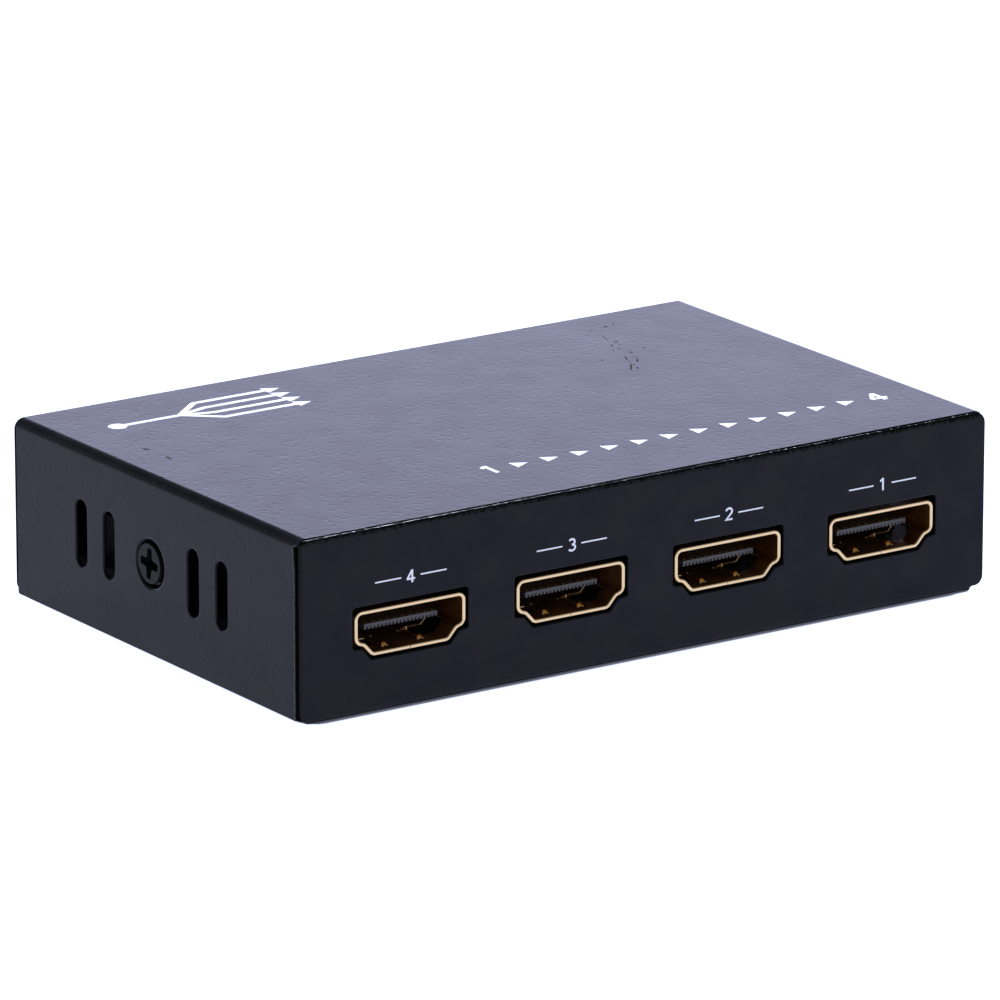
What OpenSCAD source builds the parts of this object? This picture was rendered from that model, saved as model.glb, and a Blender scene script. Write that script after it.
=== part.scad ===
// Four-way video splitter: a folded steel case around one circuit board, with four output sockets
// in the front panel, and an input socket, a power jack and a power lamp in the rear panel.
// X runs along the row of outputs, the outputs face -Y, Z is up, and the origin is the middle of
// the underside. All sizes are in millimetres.

/* [Case] */
// Width over the sides of the cover
case_w = 95; // [85:0.5:110]
// Depth over the front and rear panels
case_d = 61; // [60:0.5:80]
// Height over the top of the cover
case_h = 22; // [21.5:0.5:30]
// Thickness of the steel sheet
sheet_t = 1; // [0.8:0.05:1.1]
// Outside radius of the two long bends of the cover
cover_bend_r = 1.4; // [1.2:0.1:2.4]
// Outside radius of the bends between the base and what folds up from it
base_bend_r = 1.2; // [1.1:0.1:1.6]
// Corner radius at the foot of each panel
ear_r = 1.2; // [0.5:0.1:1.6]
// Height of the foot of each panel's ears above the underside
ear_lift = 0.9; // [0.5:0.1:1.2]
// Height of the lower edges of the cover above the underside
cover_lift = 0.8; // [0.4:0.1:1.2]
// Gap between the edges of the cover and the panels
seam_gap = 0.2; // [0.1:0.05:0.5]
// Height of the relief notch under each end of the cover's bends
relief_h = 1.8; // [1:0.1:3]
// Depth of that notch into the side of the cover
relief_d = 0.4; // [0.2:0.1:1]
// Width of the relief cut round the bend of each tab
bend_relief = 0.6; // [0.3:0.1:1]

/* [Cover screws] */
// Distance of the screws behind the middle of the case
screw_y = 1; // [-2:0.5:3]
// Height of the screws above the underside
screw_z = 11.6; // [11:0.1:13]
// Thread diameter
screw_d = 3; // [2.6:0.1:3.4]
// Length under the head
screw_len = 5; // [4:0.25:6]
// Head diameter
head_d = 5; // [4.6:0.1:5.6]
// Head thickness
head_h = 0.6; // [0.5:0.05:0.8]
// Depth of the head's face below the side of the cover
head_sink = 0.1; // [0.05:0.05:0.3]
// Running gap under the head
head_gap = 0.05; // [0.02:0.01:0.1]
// Radial running clearance of the thread in its tab
screw_fit = 0.05; // [0.02:0.01:0.1]
// Radial clearance of the thread in the cover
cover_hole_fit = 0.3; // [0.2:0.05:0.5]
// Chamfer at the tip of the thread
tip_chamfer = 0.5; // [0.2:0.05:0.8]
// Chamfer round the face of the head
head_chamfer = 0.2; // [0.05:0.05:0.3]
// Span of the cross recess
drive_span = 3.2; // [2.4:0.1:3.8]
// Width of each arm of the cross recess
drive_w = 0.8; // [0.5:0.05:1]
// Depth of the cross recess
drive_depth = 0.4; // [0.3:0.05:0.45]
// Radial gap between the head and the floor's edge of its dimple
dimple_gap = 0.2; // [0.1:0.05:0.4]
// Radial run of the dimple's sloping wall
dimple_slope = 0.5; // [0.3:0.05:0.8]
// Width of the tapped tab that stands up from the base
tab_w = 13; // [10:0.5:14]
// Height of the tab above the screw axis
tab_rise = 4.2; // [3:0.1:5]
// Corner radius of the tab
tab_r = 2; // [0.5:0.1:3]
// Wall of the drawn collar round the thread
collar_wall = 0.8; // [0.6:0.05:1.2]
// Length of the drawn collar
collar_len = 1; // [0.5:0.1:1.5]

/* [Vents] */
// Width of each vent slot
slot_w = 2.5; // [1.5:0.1:2.8]
// Height of each vent slot
slot_h = 8; // [6:0.25:10]
// Height of the slots' middles above the underside
slot_z = 11.6; // [10:0.1:13]
// Distance of the nearer slots from the screw
slot_near = 9; // [8.6:0.1:10]
// Distance of the farther slots from the screw
slot_far = 15; // [14:0.1:18]

/* [Circuit board] */
// Thickness of the board
board_t = 1.6; // [1:0.1:2]
// Gap between the base and the board
board_lift = 4.4; // [4:0.1:5]
// Gap between the board and the tabs beside it
board_side_gap = 0.8; // [0.4:0.1:1.2]
// Gap between the board and the panels
board_end_gap = 1; // [0.5:0.1:1.4]
// Corner radius of the board
board_r = 1; // [0.5:0.1:2]
// Distance of the board screws from the board's side edges
mount_side = 3.6; // [3.2:0.1:4]
// Distance of the front board screws from the board's front edge
mount_front = 14.5; // [14:0.25:18]
// Distance of the rear board screws from the board's rear edge
mount_rear = 4.5; // [3.5:0.25:8]
// Width across the flats of the hexagonal standoffs
standoff_w = 5; // [4.5:0.1:5.5]
// Diameter of the standoff's swaged shank in the base
shank_d = 3.8; // [3.2:0.1:4]
// Radial clearance of the shank in the base
shank_fit = 0.02; // [0.01:0.01:0.05]
// Thread diameter of the board screws
board_screw_d = 2.5; // [2:0.1:2.8]
// Head diameter of the board screws
board_head_d = 4.6; // [4.2:0.1:5]
// Head height of the board screws
board_head_h = 1.8; // [1.2:0.1:2.2]
// Thread length of the board screws under the board
board_screw_grip = 3.2; // [2:0.1:3.6]
// Radial clearance of the board screws in the board
board_hole_fit = 0.2; // [0.1:0.05:0.3]

/* [Sockets] */
// Distance of the outermost outputs' middles from the sides of the case
socket_side = 14.8; // [14.2:0.1:16]
// Place of the input along the rear panel
input_x = 0; // [-3:0.5:20]
// Width of the mouth
mouth_w = 14; // [13.8:0.05:14.2]
// Height of the mouth
mouth_h = 4.55; // [4.4:0.05:4.8]
// Width across the floor of the mouth
mouth_floor_w = 9.9; // [9.6:0.1:10.4]
// Width across the inner ends of the mouth's shoulders
shoulder_w = 12.2; // [11.8:0.1:12.6]
// Height of the inner ends of the shoulders above the floor
shoulder_h = 1.3; // [1.1:0.05:1.5]
// Height of the outer ends of the shoulders above the floor
side_foot_h = 1.45; // [1.4:0.05:1.7]
// Corner radius beside the floor of the mouth
floor_r = 0.3; // [0.2:0.05:0.5]
// Radius of the inward corner of each shoulder
shoulder_r = 0.9; // [0.75:0.05:1.1]
// Corner radius at the foot of each side of the mouth
side_r = 0.3; // [0.2:0.05:0.4]
// Corner radius at the top of the mouth
mouth_top_r = 0.55; // [0.3:0.05:0.9]
// Thickness of the metal shell
shell_t = 0.45; // [0.3:0.05:0.5]
// Length of the shell
shell_len = 11.5; // [11:0.25:12.5]
// Depth of the shell's rim behind the face of its panel
rim_sink = 0.1; // [0:0.05:0.4]
// Gap between the shell and the sides and floor of its cut-out
cut_gap = 0.25; // [0.15:0.05:0.4]
// Further gap over the top of the shell
cut_top_gap = 0.4; // [0:0.05:0.6]
// Distance of the middle of the front legs behind the rim
leg_front = 4.1; // [3.8:0.1:5]
// Distance of the middle of the rear legs behind the rim
leg_rear = 8.2; // [7.4:0.1:8.6]
// Width of each leg
leg_w = 1; // [0.8:0.1:1.2]
// Length of each leg below the board
leg_drop = 0.6; // [0.3:0.1:1]
// Clearance round the corners of each leg in the board
leg_fit = 0.15; // [0.1:0.05:0.25]
// Place of the spring fingers each side of the middle of the floor
finger_x = 2.5; // [2:0.1:3]
// Width of each spring finger
finger_w = 1.5; // [1.2:0.1:1.8]
// Length of each spring finger
finger_len = 4.5; // [3.5:0.1:5]
// Distance of the tip of the fingers behind the rim
finger_set = 1; // [0.8:0.1:1.5]
// Width of the slit round each finger
slit_w = 0.3; // [0.2:0.05:0.4]
// Radius of the bump on each finger
bump_r = 0.5; // [0.4:0.05:0.6]
// Height of the bump over the floor of the mouth
bump_rise = 0.3; // [0.2:0.05:0.35]

/* [Socket insides] */
// Clearance of the insulator in the shell
insulator_fit = 0.05; // [0.02:0.01:0.1]
// Thickness of the insulator's rear block
block_len = 3.4; // [3:0.1:4]
// Distance of the block's rear face in front of the shell's rear end
block_set = 0.5; // [0.2:0.1:0.8]
// Width of the tongue
tongue_w = 10; // [9.9:0.05:10.4]
// Thickness of the tongue
tongue_t = 0.7; // [0.6:0.05:0.9]
// Height of the middle of the tongue above the mouth's floor
tongue_z = 2.4; // [2.2:0.05:2.6]
// Distance of the tongue's front behind the rim
tongue_set = 2; // [1.5:0.1:3]
// Distance between neighbouring contacts of one row
contact_pitch = 1; // [0.95:0.01:1.02]
// Width of each contact
contact_w = 0.3; // [0.2:0.05:0.35]
// Thickness of each contact
contact_t = 0.15; // [0.1:0.01:0.2]
// How far each contact stands out of the tongue
contact_rise = 0.05; // [0.02:0.01:0.08]
// Distance of the contacts' tips behind the tongue's front
contact_set = 0.4; // [0.2:0.1:0.8]
// Distance of the contacts' risers from the block's rear face
riser_set = 0.6; // [0.3:0.1:1]
// Length of the contacts' feet behind the shell
foot_len = 0.8; // [0.4:0.1:1.2]
// Half-width of floor left clear beside the outermost contacts
window_margin = 0.25; // [0.15:0.05:0.3]

/* [Power jack] */
// Distance of the jack's axis from the side of the case
jack_side = 17.5; // [16:0.5:19]
// Width of the jack
jack_w = 9; // [8.8:0.1:9.6]
// Height of the jack's front block
jack_h = 11; // [10.4:0.1:11.6]
// Length of the jack
jack_len = 13.5; // [13:0.25:15]
// Length of the front block
jack_face_len = 3.4; // [2.5:0.1:4.5]
// Height of the jack's axis above the board
jack_axis_h = 6.4; // [6:0.1:6.6]
// Gap between the jack and the panel
jack_gap = 0.1; // [0.05:0.05:0.3]
// Diameter of the barrel
barrel_d = 6.4; // [6.2:0.1:6.8]
// Depth of the barrel
barrel_len = 9.6; // [9:0.1:10.5]
// Diameter of the hole in the panel
jack_hole_d = 8; // [7.2:0.1:8.6]
// Diameter of the centre pin
pin_d = 2; // [1.8:0.05:2.5]
// Diameter of the pin's root in the jack's rear wall
pin_root_d = 2.6; // [2.55:0.05:3]
// Distance of the pin's tip behind the jack's face
pin_set = 1; // [0.5:0.1:1.5]
// Width of the leaf spring and of both terminals
leaf_w = 1.8; // [1.2:0.1:2.2]
// Thickness of the leaf spring and of both terminals
leaf_t = 0.4; // [0.3:0.05:0.5]
// Clearance round the leaf spring in its slot
leaf_fit = 0.1; // [0.05:0.05:0.2]

/* [Power lamp] */
// Distance of the lamp from the jack's axis
lamp_step = 12; // [10:0.5:15]
// Height of the lamp above the board
lamp_h = 6.4; // [5:0.1:8]
// Diameter of the lamp
lamp_d = 3; // [2.6:0.1:3.4]
// Diameter of the flange at the back of the lamp
lamp_flange_d = 3.8; // [3.6:0.1:4.4]
// Thickness of that flange
lamp_flange_t = 1; // [0.6:0.1:1.4]
// Length of the lamp
lamp_len = 5.2; // [4.5:0.1:6]
// Depth of the lamp's tip behind the face of the panel
lamp_sink = 0.2; // [0.05:0.05:0.6]
// Radial clearance of the lamp in the panel
lamp_fit = 0.1; // [0.05:0.05:0.3]
// Distance between the lamp's two leads
lead_pitch = 2.54; // [2:0.02:2.8]
// Thickness of each lead
lead_t = 0.5; // [0.4:0.05:0.6]
// Length of the leads behind the lamp before they turn down
lead_run = 1.5; // [1:0.1:3]

/* [Parts on the board] */
// Side of the splitter chip
chip_w = 14; // [10:0.5:15]
// Thickness of the splitter chip
chip_t = 1.4; // [1:0.1:2]
// Height of chips above the board
chip_lift = 0.1; // [0.05:0.01:0.15]
// Number of legs on each side of the splitter chip
chip_legs = 16; // [8:1:16]
// Distance between neighbouring legs of the splitter chip
chip_leg_pitch = 0.8; // [0.5:0.05:0.85]
// Width of a chip leg
chip_leg_w = 0.35; // [0.2:0.01:0.4]
// Thickness of a chip leg
chip_leg_t = 0.15; // [0.1:0.01:0.2]
// Reach of a chip leg beyond its body
chip_leg_len = 1; // [0.8:0.05:1.2]
// Length of each protection chip
guard_w = 5; // [4:0.1:6]
// Width of each protection chip
guard_d = 3.8; // [3:0.1:4]
// Thickness of each protection chip
guard_t = 1.1; // [0.8:0.1:1.6]
// Gap between the sockets' feet and the protection chips
guard_gap = 1.5; // [1:0.1:2]
// Diameter of the bulk capacitors
can_d = 6.3; // [5:0.1:6.6]
// Height of the bulk capacitors
can_h = 5.4; // [4:0.1:7]
// Thickness of the plastic seat under each bulk capacitor
can_seat_t = 0.5; // [0.3:0.1:0.8]
// Side of the inductor
coil_w = 6; // [5:0.1:7]
// Height of the inductor
coil_h = 3; // [2:0.1:4]
// Length of the regulator
regulator_w = 6.5; // [5:0.1:7]
// Width of the regulator
regulator_d = 3.5; // [3:0.1:4]
// Height of the regulator
regulator_h = 1.6; // [1.2:0.1:2]
// Length of the crystal
crystal_w = 5; // [3.2:0.1:6]
// Width of the crystal
crystal_d = 3.2; // [2:0.1:4]
// Height of the crystal
crystal_h = 1.2; // [0.8:0.1:1.6]
// Length of the memory chip
memory_w = 4.9; // [4:0.1:6]
// Width of the memory chip
memory_d = 3.9; // [3:0.1:4.4]
// Height of the memory chip
memory_h = 1.5; // [1:0.1:2]
// Length of the diode
diode_w = 4.3; // [3.5:0.1:5]
// Width of the diode
diode_d = 2.6; // [2:0.1:3]
// Height of the diode
diode_h = 2.2; // [1.5:0.1:2.6]
// Length of a ceramic capacitor
cap_w = 2; // [1.6:0.1:2.4]
// Width of a ceramic capacitor
cap_d = 1.25; // [0.8:0.05:1.4]
// Height of a ceramic capacitor
cap_h = 0.9; // [0.5:0.05:1.2]
// Length of a resistor
resistor_w = 1.6; // [1.2:0.1:1.8]
// Width of a resistor
resistor_d = 0.8; // [0.5:0.05:1]
// Height of a resistor
resistor_h = 0.45; // [0.3:0.05:0.6]
// Distance between the regulator's three legs
regulator_leg_pitch = 2.3; // [1.5:0.05:2.4]
// Width of the regulator's cooling tab
regulator_tab_w = 3; // [2:0.1:3.4]
// Number of legs on each side of a small chip
small_legs = 4; // [3:1:4]
// Distance between neighbouring legs of a small chip
small_leg_pitch = 1; // [0.6:0.05:1.1]
// Distance between neighbouring small parts in a row
small_pitch = 2.4; // [2.2:0.1:2.6]
// Gap between a row of small parts and the chip beside it
small_gap = 1.2; // [0.8:0.1:1.4]

/* [Hidden] */
$fn = 64;
arc_steps = 8;
over = 0.5;
outputs = [1, 2, 3, 4];
upper_contacts = 10;
lower_contacts = 9;
sheet_black = "#1b1c22";
gold = "#d9b56a";
tin = "#b9bbc0";
resin_black = "#141416";

half_w = case_w / 2;
half_d = case_d / 2;
panel_inner = half_d - sheet_t;
cover_end = panel_inner - seam_gap;
dimple_depth = head_sink + head_h + head_gap;
tab_outer = half_w - dimple_depth - sheet_t;
tab_inner = tab_outer - sheet_t;
head_face = half_w - head_sink;
head_seat = head_face - head_h;
bore_r = screw_d / 2 + screw_fit;
side_out = -half_w - over;
side_in = sheet_t + over - half_w;
board_z = sheet_t + board_lift;
board_top = board_z + board_t;
board_half_w = tab_inner - board_side_gap;
board_half_d = panel_inner - board_end_gap;
mount_x = board_half_w - mount_side;
mount_ys = [mount_front - board_half_d, board_half_d - mount_rear];
rim_y = half_d - rim_sink;
socket_pitch = (case_w - 2 * socket_side) / (len(outputs) - 1);
leg_x = mouth_w / 2 + shell_t / 2;
feet_end = rim_y - shell_len - foot_len;
block_rear = shell_len - block_set;
riser_y = block_rear - riser_set;
tongue_mid = shell_t + tongue_z;
window_half = (upper_contacts - 1) / 2 * contact_pitch + contact_w / 2 + window_margin;
jack_x = jack_side - half_w;
jack_face = panel_inner - jack_gap;
jack_z = board_top + jack_axis_h;
jack_rear = jack_face - jack_len;
barrel_floor = jack_face - barrel_len;
lamp_x = jack_x + lamp_step;
lamp_tip = half_d - lamp_sink;
lamp_back = lamp_tip - lamp_len;
lamp_z = board_top + lamp_h;
lead_y = lamp_back - lead_run;
guard_y = -feet_end + guard_gap + chip_leg_len + guard_d / 2;
chip_edge = chip_w / 2 + chip_leg_len;
beside_chip = chip_edge + small_gap + cap_d + small_gap;
chip_y = guard_y + guard_d / 2 + chip_leg_len + beside_chip;

// Outlines

function unit(v) = v / norm(v);

function turned(v, angle) =
    [v.x * cos(angle) - v.y * sin(angle), v.x * sin(angle) + v.y * cos(angle)];

function before(points, i) = points[(i + len(points) - 1) % len(points)];

function after(points, i) = points[(i + 1) % len(points)];

// Points of the arc of radius r that replaces the corner b between a and c
function corner_arc(a, b, c, r) =
    let (u = unit(a - b), v = unit(c - b), opening = acos(u * v))
    let (centre = b + unit(u + v) * r / sin(opening / 2))
    let (start = b + u * r / tan(opening / 2) - centre)
    let (sweep = sign(cross(b - a, c - b)) * (180 - opening))
    [for (k = [0 : arc_steps]) centre + turned(start, sweep * k / arc_steps)];

// An outline with each corner rounded by its own radius
function rounded(points, radii) =
    [for (i = [0 : len(points) - 1])
        each radii[i] > 0 ? corner_arc(before(points, i), points[i], after(points, i), radii[i])
                          : [points[i]]];

function outward(a, b) = let (d = unit(b - a)) [d.y, -d.x];

// A counter-clockwise outline moved outwards by a distance
function grown(points, distance) =
    [for (i = [0 : len(points) - 1])
        let (m = outward(before(points, i), points[i]), n = outward(points[i], after(points, i)))
        points[i] + (m + n) * distance / (1 + m * n)];

// Solids from outlines: along_x takes an outline in Y and Z, along_y one in X and Z

module along_x(low, high) {
    translate([low, 0, 0]) rotate([90, 0, 90]) linear_extrude(high - low) children();
}

module along_y(low, high) {
    translate([0, high, 0]) rotate([90, 0, 0]) linear_extrude(high - low) children();
}

module rod_x(low, high, r, y, z) {
    translate([low, y, z]) rotate([0, 90, 0]) cylinder(h = high - low, r = r);
}

module rod_y(low, high, r, x, z) {
    translate([x, low, z]) rotate([-90, 0, 0]) cylinder(h = high - low, r = r);
}

module block(low, high) {
    translate(low) cube(high - low);
}

module on_board(x, y, size, lift = 0) {
    block([x - size.x / 2, y - size.y / 2, board_top + lift],
          [x + size.x / 2, y + size.y / 2, board_top + lift + size.z]);
}

module both_sides() {
    children();
    mirror([1, 0, 0]) children();
}

// Steel case

// Outline of one panel: full width, with the cover's bends at the top and rounded feet
module panel_outline() {
    polygon(rounded([[-half_w, ear_lift], [half_w, ear_lift], [half_w, case_h], [-half_w, case_h]],
                    [ear_r, ear_r, cover_bend_r, cover_bend_r]));
}

// Outline of the base and the roots of both panels, seen from the side
module base_outline() {
    root = base_bend_r + sheet_t;
    inner_r = base_bend_r - sheet_t;
    polygon(rounded([[-half_d, 0], [half_d, 0], [half_d, root], [panel_inner, root], [panel_inner, sheet_t],
                     [-panel_inner, sheet_t], [-panel_inner, root], [-half_d, root]],
                    [base_bend_r, base_bend_r, 0, 0, inner_r, inner_r, 0, 0]));
}

// Bend that carries the left tab up from the base, seen from the front
module tab_root_outline() {
    root = base_bend_r + sheet_t;
    inner_r = base_bend_r - sheet_t;
    reach = -tab_outer + root + bend_relief;
    polygon(rounded([[-tab_outer, 0], [reach, 0], [reach, sheet_t], [-tab_inner, sheet_t], [-tab_inner, root],
                     [-tab_outer, root]],
                    [base_bend_r, 0, 0, inner_r, 0, 0]));
}

module tab_outline() {
    polygon(rounded([[screw_y - tab_w / 2, base_bend_r], [screw_y + tab_w / 2, base_bend_r],
                     [screw_y + tab_w / 2, screw_z + tab_rise], [screw_y - tab_w / 2, screw_z + tab_rise]],
                    [0, 0, tab_r, tab_r]));
}

module left_tab() {
    translate([0, screw_y, 0]) along_y(-tab_w / 2, tab_w / 2) tab_root_outline();
    along_x(-tab_outer, -tab_inner) tab_outline();
    rod_x(-tab_outer, -tab_inner + collar_len, bore_r + collar_wall, screw_y, screw_z);
}

// Base with the roots of both panels, cut back round the bend of each tab
module base_blank() {
    cut_end = -tab_outer + base_bend_r + bend_relief;
    cut_half = tab_w / 2 + bend_relief;
    difference() {
        along_x(-tab_outer, tab_outer) base_outline();
        both_sides() block([-tab_outer - over, screw_y - cut_half, -over],
                           [cut_end, screw_y + cut_half, sheet_t + over]);
    }
}

module bottom_chassis() {
    color(sheet_black) difference() {
        union() {
            base_blank();
            along_y(-half_d, -panel_inner) panel_outline();
            along_y(panel_inner, half_d) panel_outline();
            both_sides() left_tab();
        }
        for (n = outputs) at_output(n) socket_cut();
        at_input() socket_cut();
        rod_y(panel_inner - over, half_d + over, jack_hole_d / 2, jack_x, jack_z);
        rod_y(panel_inner - over, half_d + over, lamp_d / 2 + lamp_fit, lamp_x, lamp_z);
        both_sides() rod_x(-half_w, -tab_inner + collar_len + over, bore_r, screw_y, screw_z);
        at_mounts() translate([0, 0, -over])
            cylinder(h = sheet_t + 2 * over, d = shank_d + 2 * shank_fit);
    }
}

// Outline of the cover, an upside-down channel, seen from the front
module cover_outline() {
    inner_w = half_w - sheet_t;
    inner_r = cover_bend_r - sheet_t;
    polygon(rounded([[half_w, cover_lift], [half_w, case_h], [-half_w, case_h], [-half_w, cover_lift],
                     [-inner_w, cover_lift], [-inner_w, case_h - sheet_t], [inner_w, case_h - sheet_t],
                     [inner_w, cover_lift]],
                    [0, cover_bend_r, cover_bend_r, 0, 0, inner_r, inner_r, 0]));
}

// Section of the pressed dimple round the screw: radius across, depth into the case up
module dimple_section() {
    hole_r = screw_d / 2 + cover_hole_fit;
    seat_r = head_d / 2 + dimple_gap;
    mouth_r = seat_r + dimple_slope;
    polygon([[hole_r, dimple_depth], [seat_r, dimple_depth], [mouth_r, 0], [mouth_r + sheet_t, 0],
             [mouth_r + sheet_t, sheet_t], [mouth_r, sheet_t], [seat_r, dimple_depth + sheet_t],
             [hole_r, dimple_depth + sheet_t]]);
}

module left_dimple() {
    translate([-half_w, screw_y, screw_z]) rotate([0, 90, 0]) rotate_extrude() dimple_section();
}

module vent_slot(y) {
    reach = (slot_h - slot_w) / 2;
    block([side_out, y - slot_w / 2, slot_z - reach], [side_in, y + slot_w / 2, slot_z + reach]);
    for (z = [slot_z - reach, slot_z + reach]) rod_x(side_out, side_in, slot_w / 2, y, z);
}

module left_side_cuts() {
    relief_top = case_h - cover_bend_r;
    dimple_cut_r = head_d / 2 + dimple_gap + dimple_slope + sheet_t / 2;
    for (step = [-slot_far, -slot_near, slot_near, slot_far]) vent_slot(screw_y + step);
    rod_x(side_out, side_in, dimple_cut_r, screw_y, screw_z);
    for (y = [-cover_end, cover_end - relief_d])
        block([side_out, y, relief_top - relief_h], [side_in, y + relief_d, relief_top]);
}

module top_cover() {
    color(sheet_black) {
        difference() {
            along_y(-cover_end, cover_end) cover_outline();
            both_sides() left_side_cuts();
        }
        both_sides() left_dimple();
    }
}

// Cover screw with the middle of its head's face at the origin and its thread along Z
module cover_screw() {
    end = head_h + screw_len;
    color(resin_black) difference() {
        rotate_extrude() polygon([[0, 0], [head_d / 2 - head_chamfer, 0], [head_d / 2, head_chamfer],
                                  [head_d / 2, head_h], [screw_d / 2, head_h],
                                  [screw_d / 2, end - tip_chamfer], [screw_d / 2 - tip_chamfer, end],
                                  [0, end]]);
        for (a = [0, 90]) rotate(a)
            block([-drive_span / 2, -drive_w / 2, -over], [drive_span / 2, drive_w / 2, drive_depth]);
    }
}

module left_cover_screw() {
    translate([-head_face, screw_y, screw_z]) rotate([0, 90, 0]) cover_screw();
}

module right_cover_screw() {
    mirror([1, 0, 0]) left_cover_screw();
}

// Circuit board and what holds it

module at_mounts() {
    for (x = [-mount_x, mount_x], y = mount_ys) translate([x, y, 0]) children();
}

module board_outline() {
    polygon(rounded([[-board_half_w, -board_half_d], [board_half_w, -board_half_d],
                     [board_half_w, board_half_d], [-board_half_w, board_half_d]],
                    [board_r, board_r, board_r, board_r]));
}

module board_hole(r) {
    translate([0, 0, board_z - over]) cylinder(h = board_t + 2 * over, r = r);
}

module circuit_board() {
    blade_r = norm([leaf_w, leaf_t]) / 2 + leg_fit;
    lead_r = norm([lead_t, lead_t]) / 2 + leg_fit;
    color("#1f5a36") difference() {
        translate([0, 0, board_z]) linear_extrude(board_t) board_outline();
        at_mounts() board_hole(board_screw_d / 2 + board_hole_fit);
        for (n = outputs) at_output(n) socket_board_holes();
        at_input() socket_board_holes();
        for (y = [pin_terminal_y, leaf_terminal_y]) translate([jack_x, y, 0]) board_hole(blade_r);
        for (x = lamp_lead_xs) translate([x, lead_y, 0]) board_hole(lead_r);
    }
}

module board_standoffs() {
    color(tin) at_mounts() difference() {
        union() {
            cylinder(h = sheet_t + over, d = shank_d);
            translate([0, 0, sheet_t]) cylinder(h = board_lift, d = standoff_w / cos(30), $fn = 6);
        }
        translate([0, 0, -over]) cylinder(h = board_z + 2 * over, d = board_screw_d + 2 * shank_fit);
    }
}

module board_screws() {
    color(tin) at_mounts() translate([0, 0, board_top]) difference() {
        union() {
            cylinder(h = board_head_h, d = board_head_d);
            translate([0, 0, -board_t - board_screw_grip])
                cylinder(h = board_t + board_screw_grip + over, d = board_screw_d);
        }
        for (a = [0, 90]) rotate(a)
            block([-board_screw_d / 2, -drive_w / 2, board_head_h - drive_depth],
                  [board_screw_d / 2, drive_w / 2, board_head_h + over]);
    }
}

// Sockets: each is drawn with its rim at the origin, facing -Y, standing on the board

// Output 1 is at the right and the last output at the left
function output_x(n) = (len(outputs) + 1 - 2 * n) / 2 * socket_pitch;

module at_output(n) {
    translate([output_x(n), -rim_y, board_top]) children();
}

module at_input() {
    translate([input_x, rim_y, board_top]) rotate(180) children();
}

// Corners of the mouth, counter-clockwise from the left end of its floor
function mouth_corners() =
    let (f = mouth_floor_w / 2, s = shoulder_w / 2, w = mouth_w / 2, low = shell_t, top = shell_t + mouth_h)
    [[-f, low], [f, low], [s, low + shoulder_h], [w, low + side_foot_h], [w, top], [-w, top],
     [-w, low + side_foot_h], [-s, low + shoulder_h]];

// Radii of those corners when the outline is grown by a distance
function mouth_radii(distance) =
    let (foot = floor_r + distance, shoulder = shoulder_r - distance, side = side_r + distance)
    let (top = mouth_top_r + distance)
    [foot, foot, shoulder, side, top, top, side, shoulder];

module mouth_outline(distance, lift = 0) {
    top = shell_t + mouth_h;
    raised = [for (p = grown(mouth_corners(), distance)) p.y > top - shell_t ? [p.x, p.y + lift] : p];
    polygon(rounded(raised, mouth_radii(distance)));
}

module socket_cut() {
    along_y(-rim_sink - over, sheet_t + over) mouth_outline(shell_t + cut_gap, cut_top_gap);
}

module socket_legs() {
    for (x = [-leg_x, leg_x], y = [leg_front, leg_rear])
        block([x - shell_t / 2, y - leg_w / 2, -board_t - leg_drop],
              [x + shell_t / 2, y + leg_w / 2, shell_t + mouth_h / 2]);
}

module socket_board_holes() {
    for (x = [-leg_x, leg_x], y = [leg_front, leg_rear])
        translate([x, y, -board_top]) board_hole(norm([shell_t, leg_w]) / 2 + leg_fit);
}

// Slits that free one spring finger from the floor of the shell
module finger_slits(x) {
    reach = finger_w / 2 + slit_w;
    for (side = [-1, 1])
        translate([x + side * (finger_w + slit_w) / 2, finger_set, -over])
            block([-slit_w / 2, 0, 0], [slit_w / 2, finger_len, shell_t + 2 * over]);
    block([x - reach, finger_set - slit_w, -over], [x + reach, finger_set, shell_t + over]);
}

module socket_shell() {
    color(gold) {
        difference() {
            union() {
                along_y(0, shell_len) mouth_outline(shell_t);
                socket_legs();
            }
            along_y(-over, shell_len - shell_t) mouth_outline(0);
            block([-window_half, riser_y - window_margin, -over],
                  [window_half, shell_len + over, shell_t + contact_t]);
            for (x = [-finger_x, finger_x]) finger_slits(x);
        }
        for (x = [-finger_x, finger_x]) spring_bump(x);
    }
}

// Rounded bump across the tip of one spring finger
module spring_bump(x) {
    intersection() {
        rod_x(x - finger_w / 2, x + finger_w / 2, bump_r, finger_set + bump_r, shell_t + bump_rise - bump_r);
        block([x - finger_w, finger_set, shell_t / 2],
              [x + finger_w, finger_set + 2 * bump_r, shell_t + bump_r]);
    }
}

// One contact, seen from the side: a strip along the tongue, a riser and a foot on the board
module contact_outline(strip_z) {
    tip = tongue_set + contact_set;
    heel = shell_len + foot_len;
    polygon([[tip, strip_z], [riser_y, strip_z], [riser_y, 0], [heel, 0], [heel, contact_t],
             [riser_y + contact_t, contact_t], [riser_y + contact_t, strip_z + contact_t],
             [tip, strip_z + contact_t]]);
}

module contact_row(count, strip_z) {
    for (i = [0 : count - 1])
        translate([(i - (count - 1) / 2) * contact_pitch, 0, 0])
            along_x(-contact_w / 2, contact_w / 2) contact_outline(strip_z);
}

module socket_contacts() {
    color(gold) {
        contact_row(upper_contacts, tongue_mid + tongue_t / 2 + contact_rise - contact_t);
        contact_row(lower_contacts, tongue_mid - tongue_t / 2 - contact_rise);
    }
}

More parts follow.
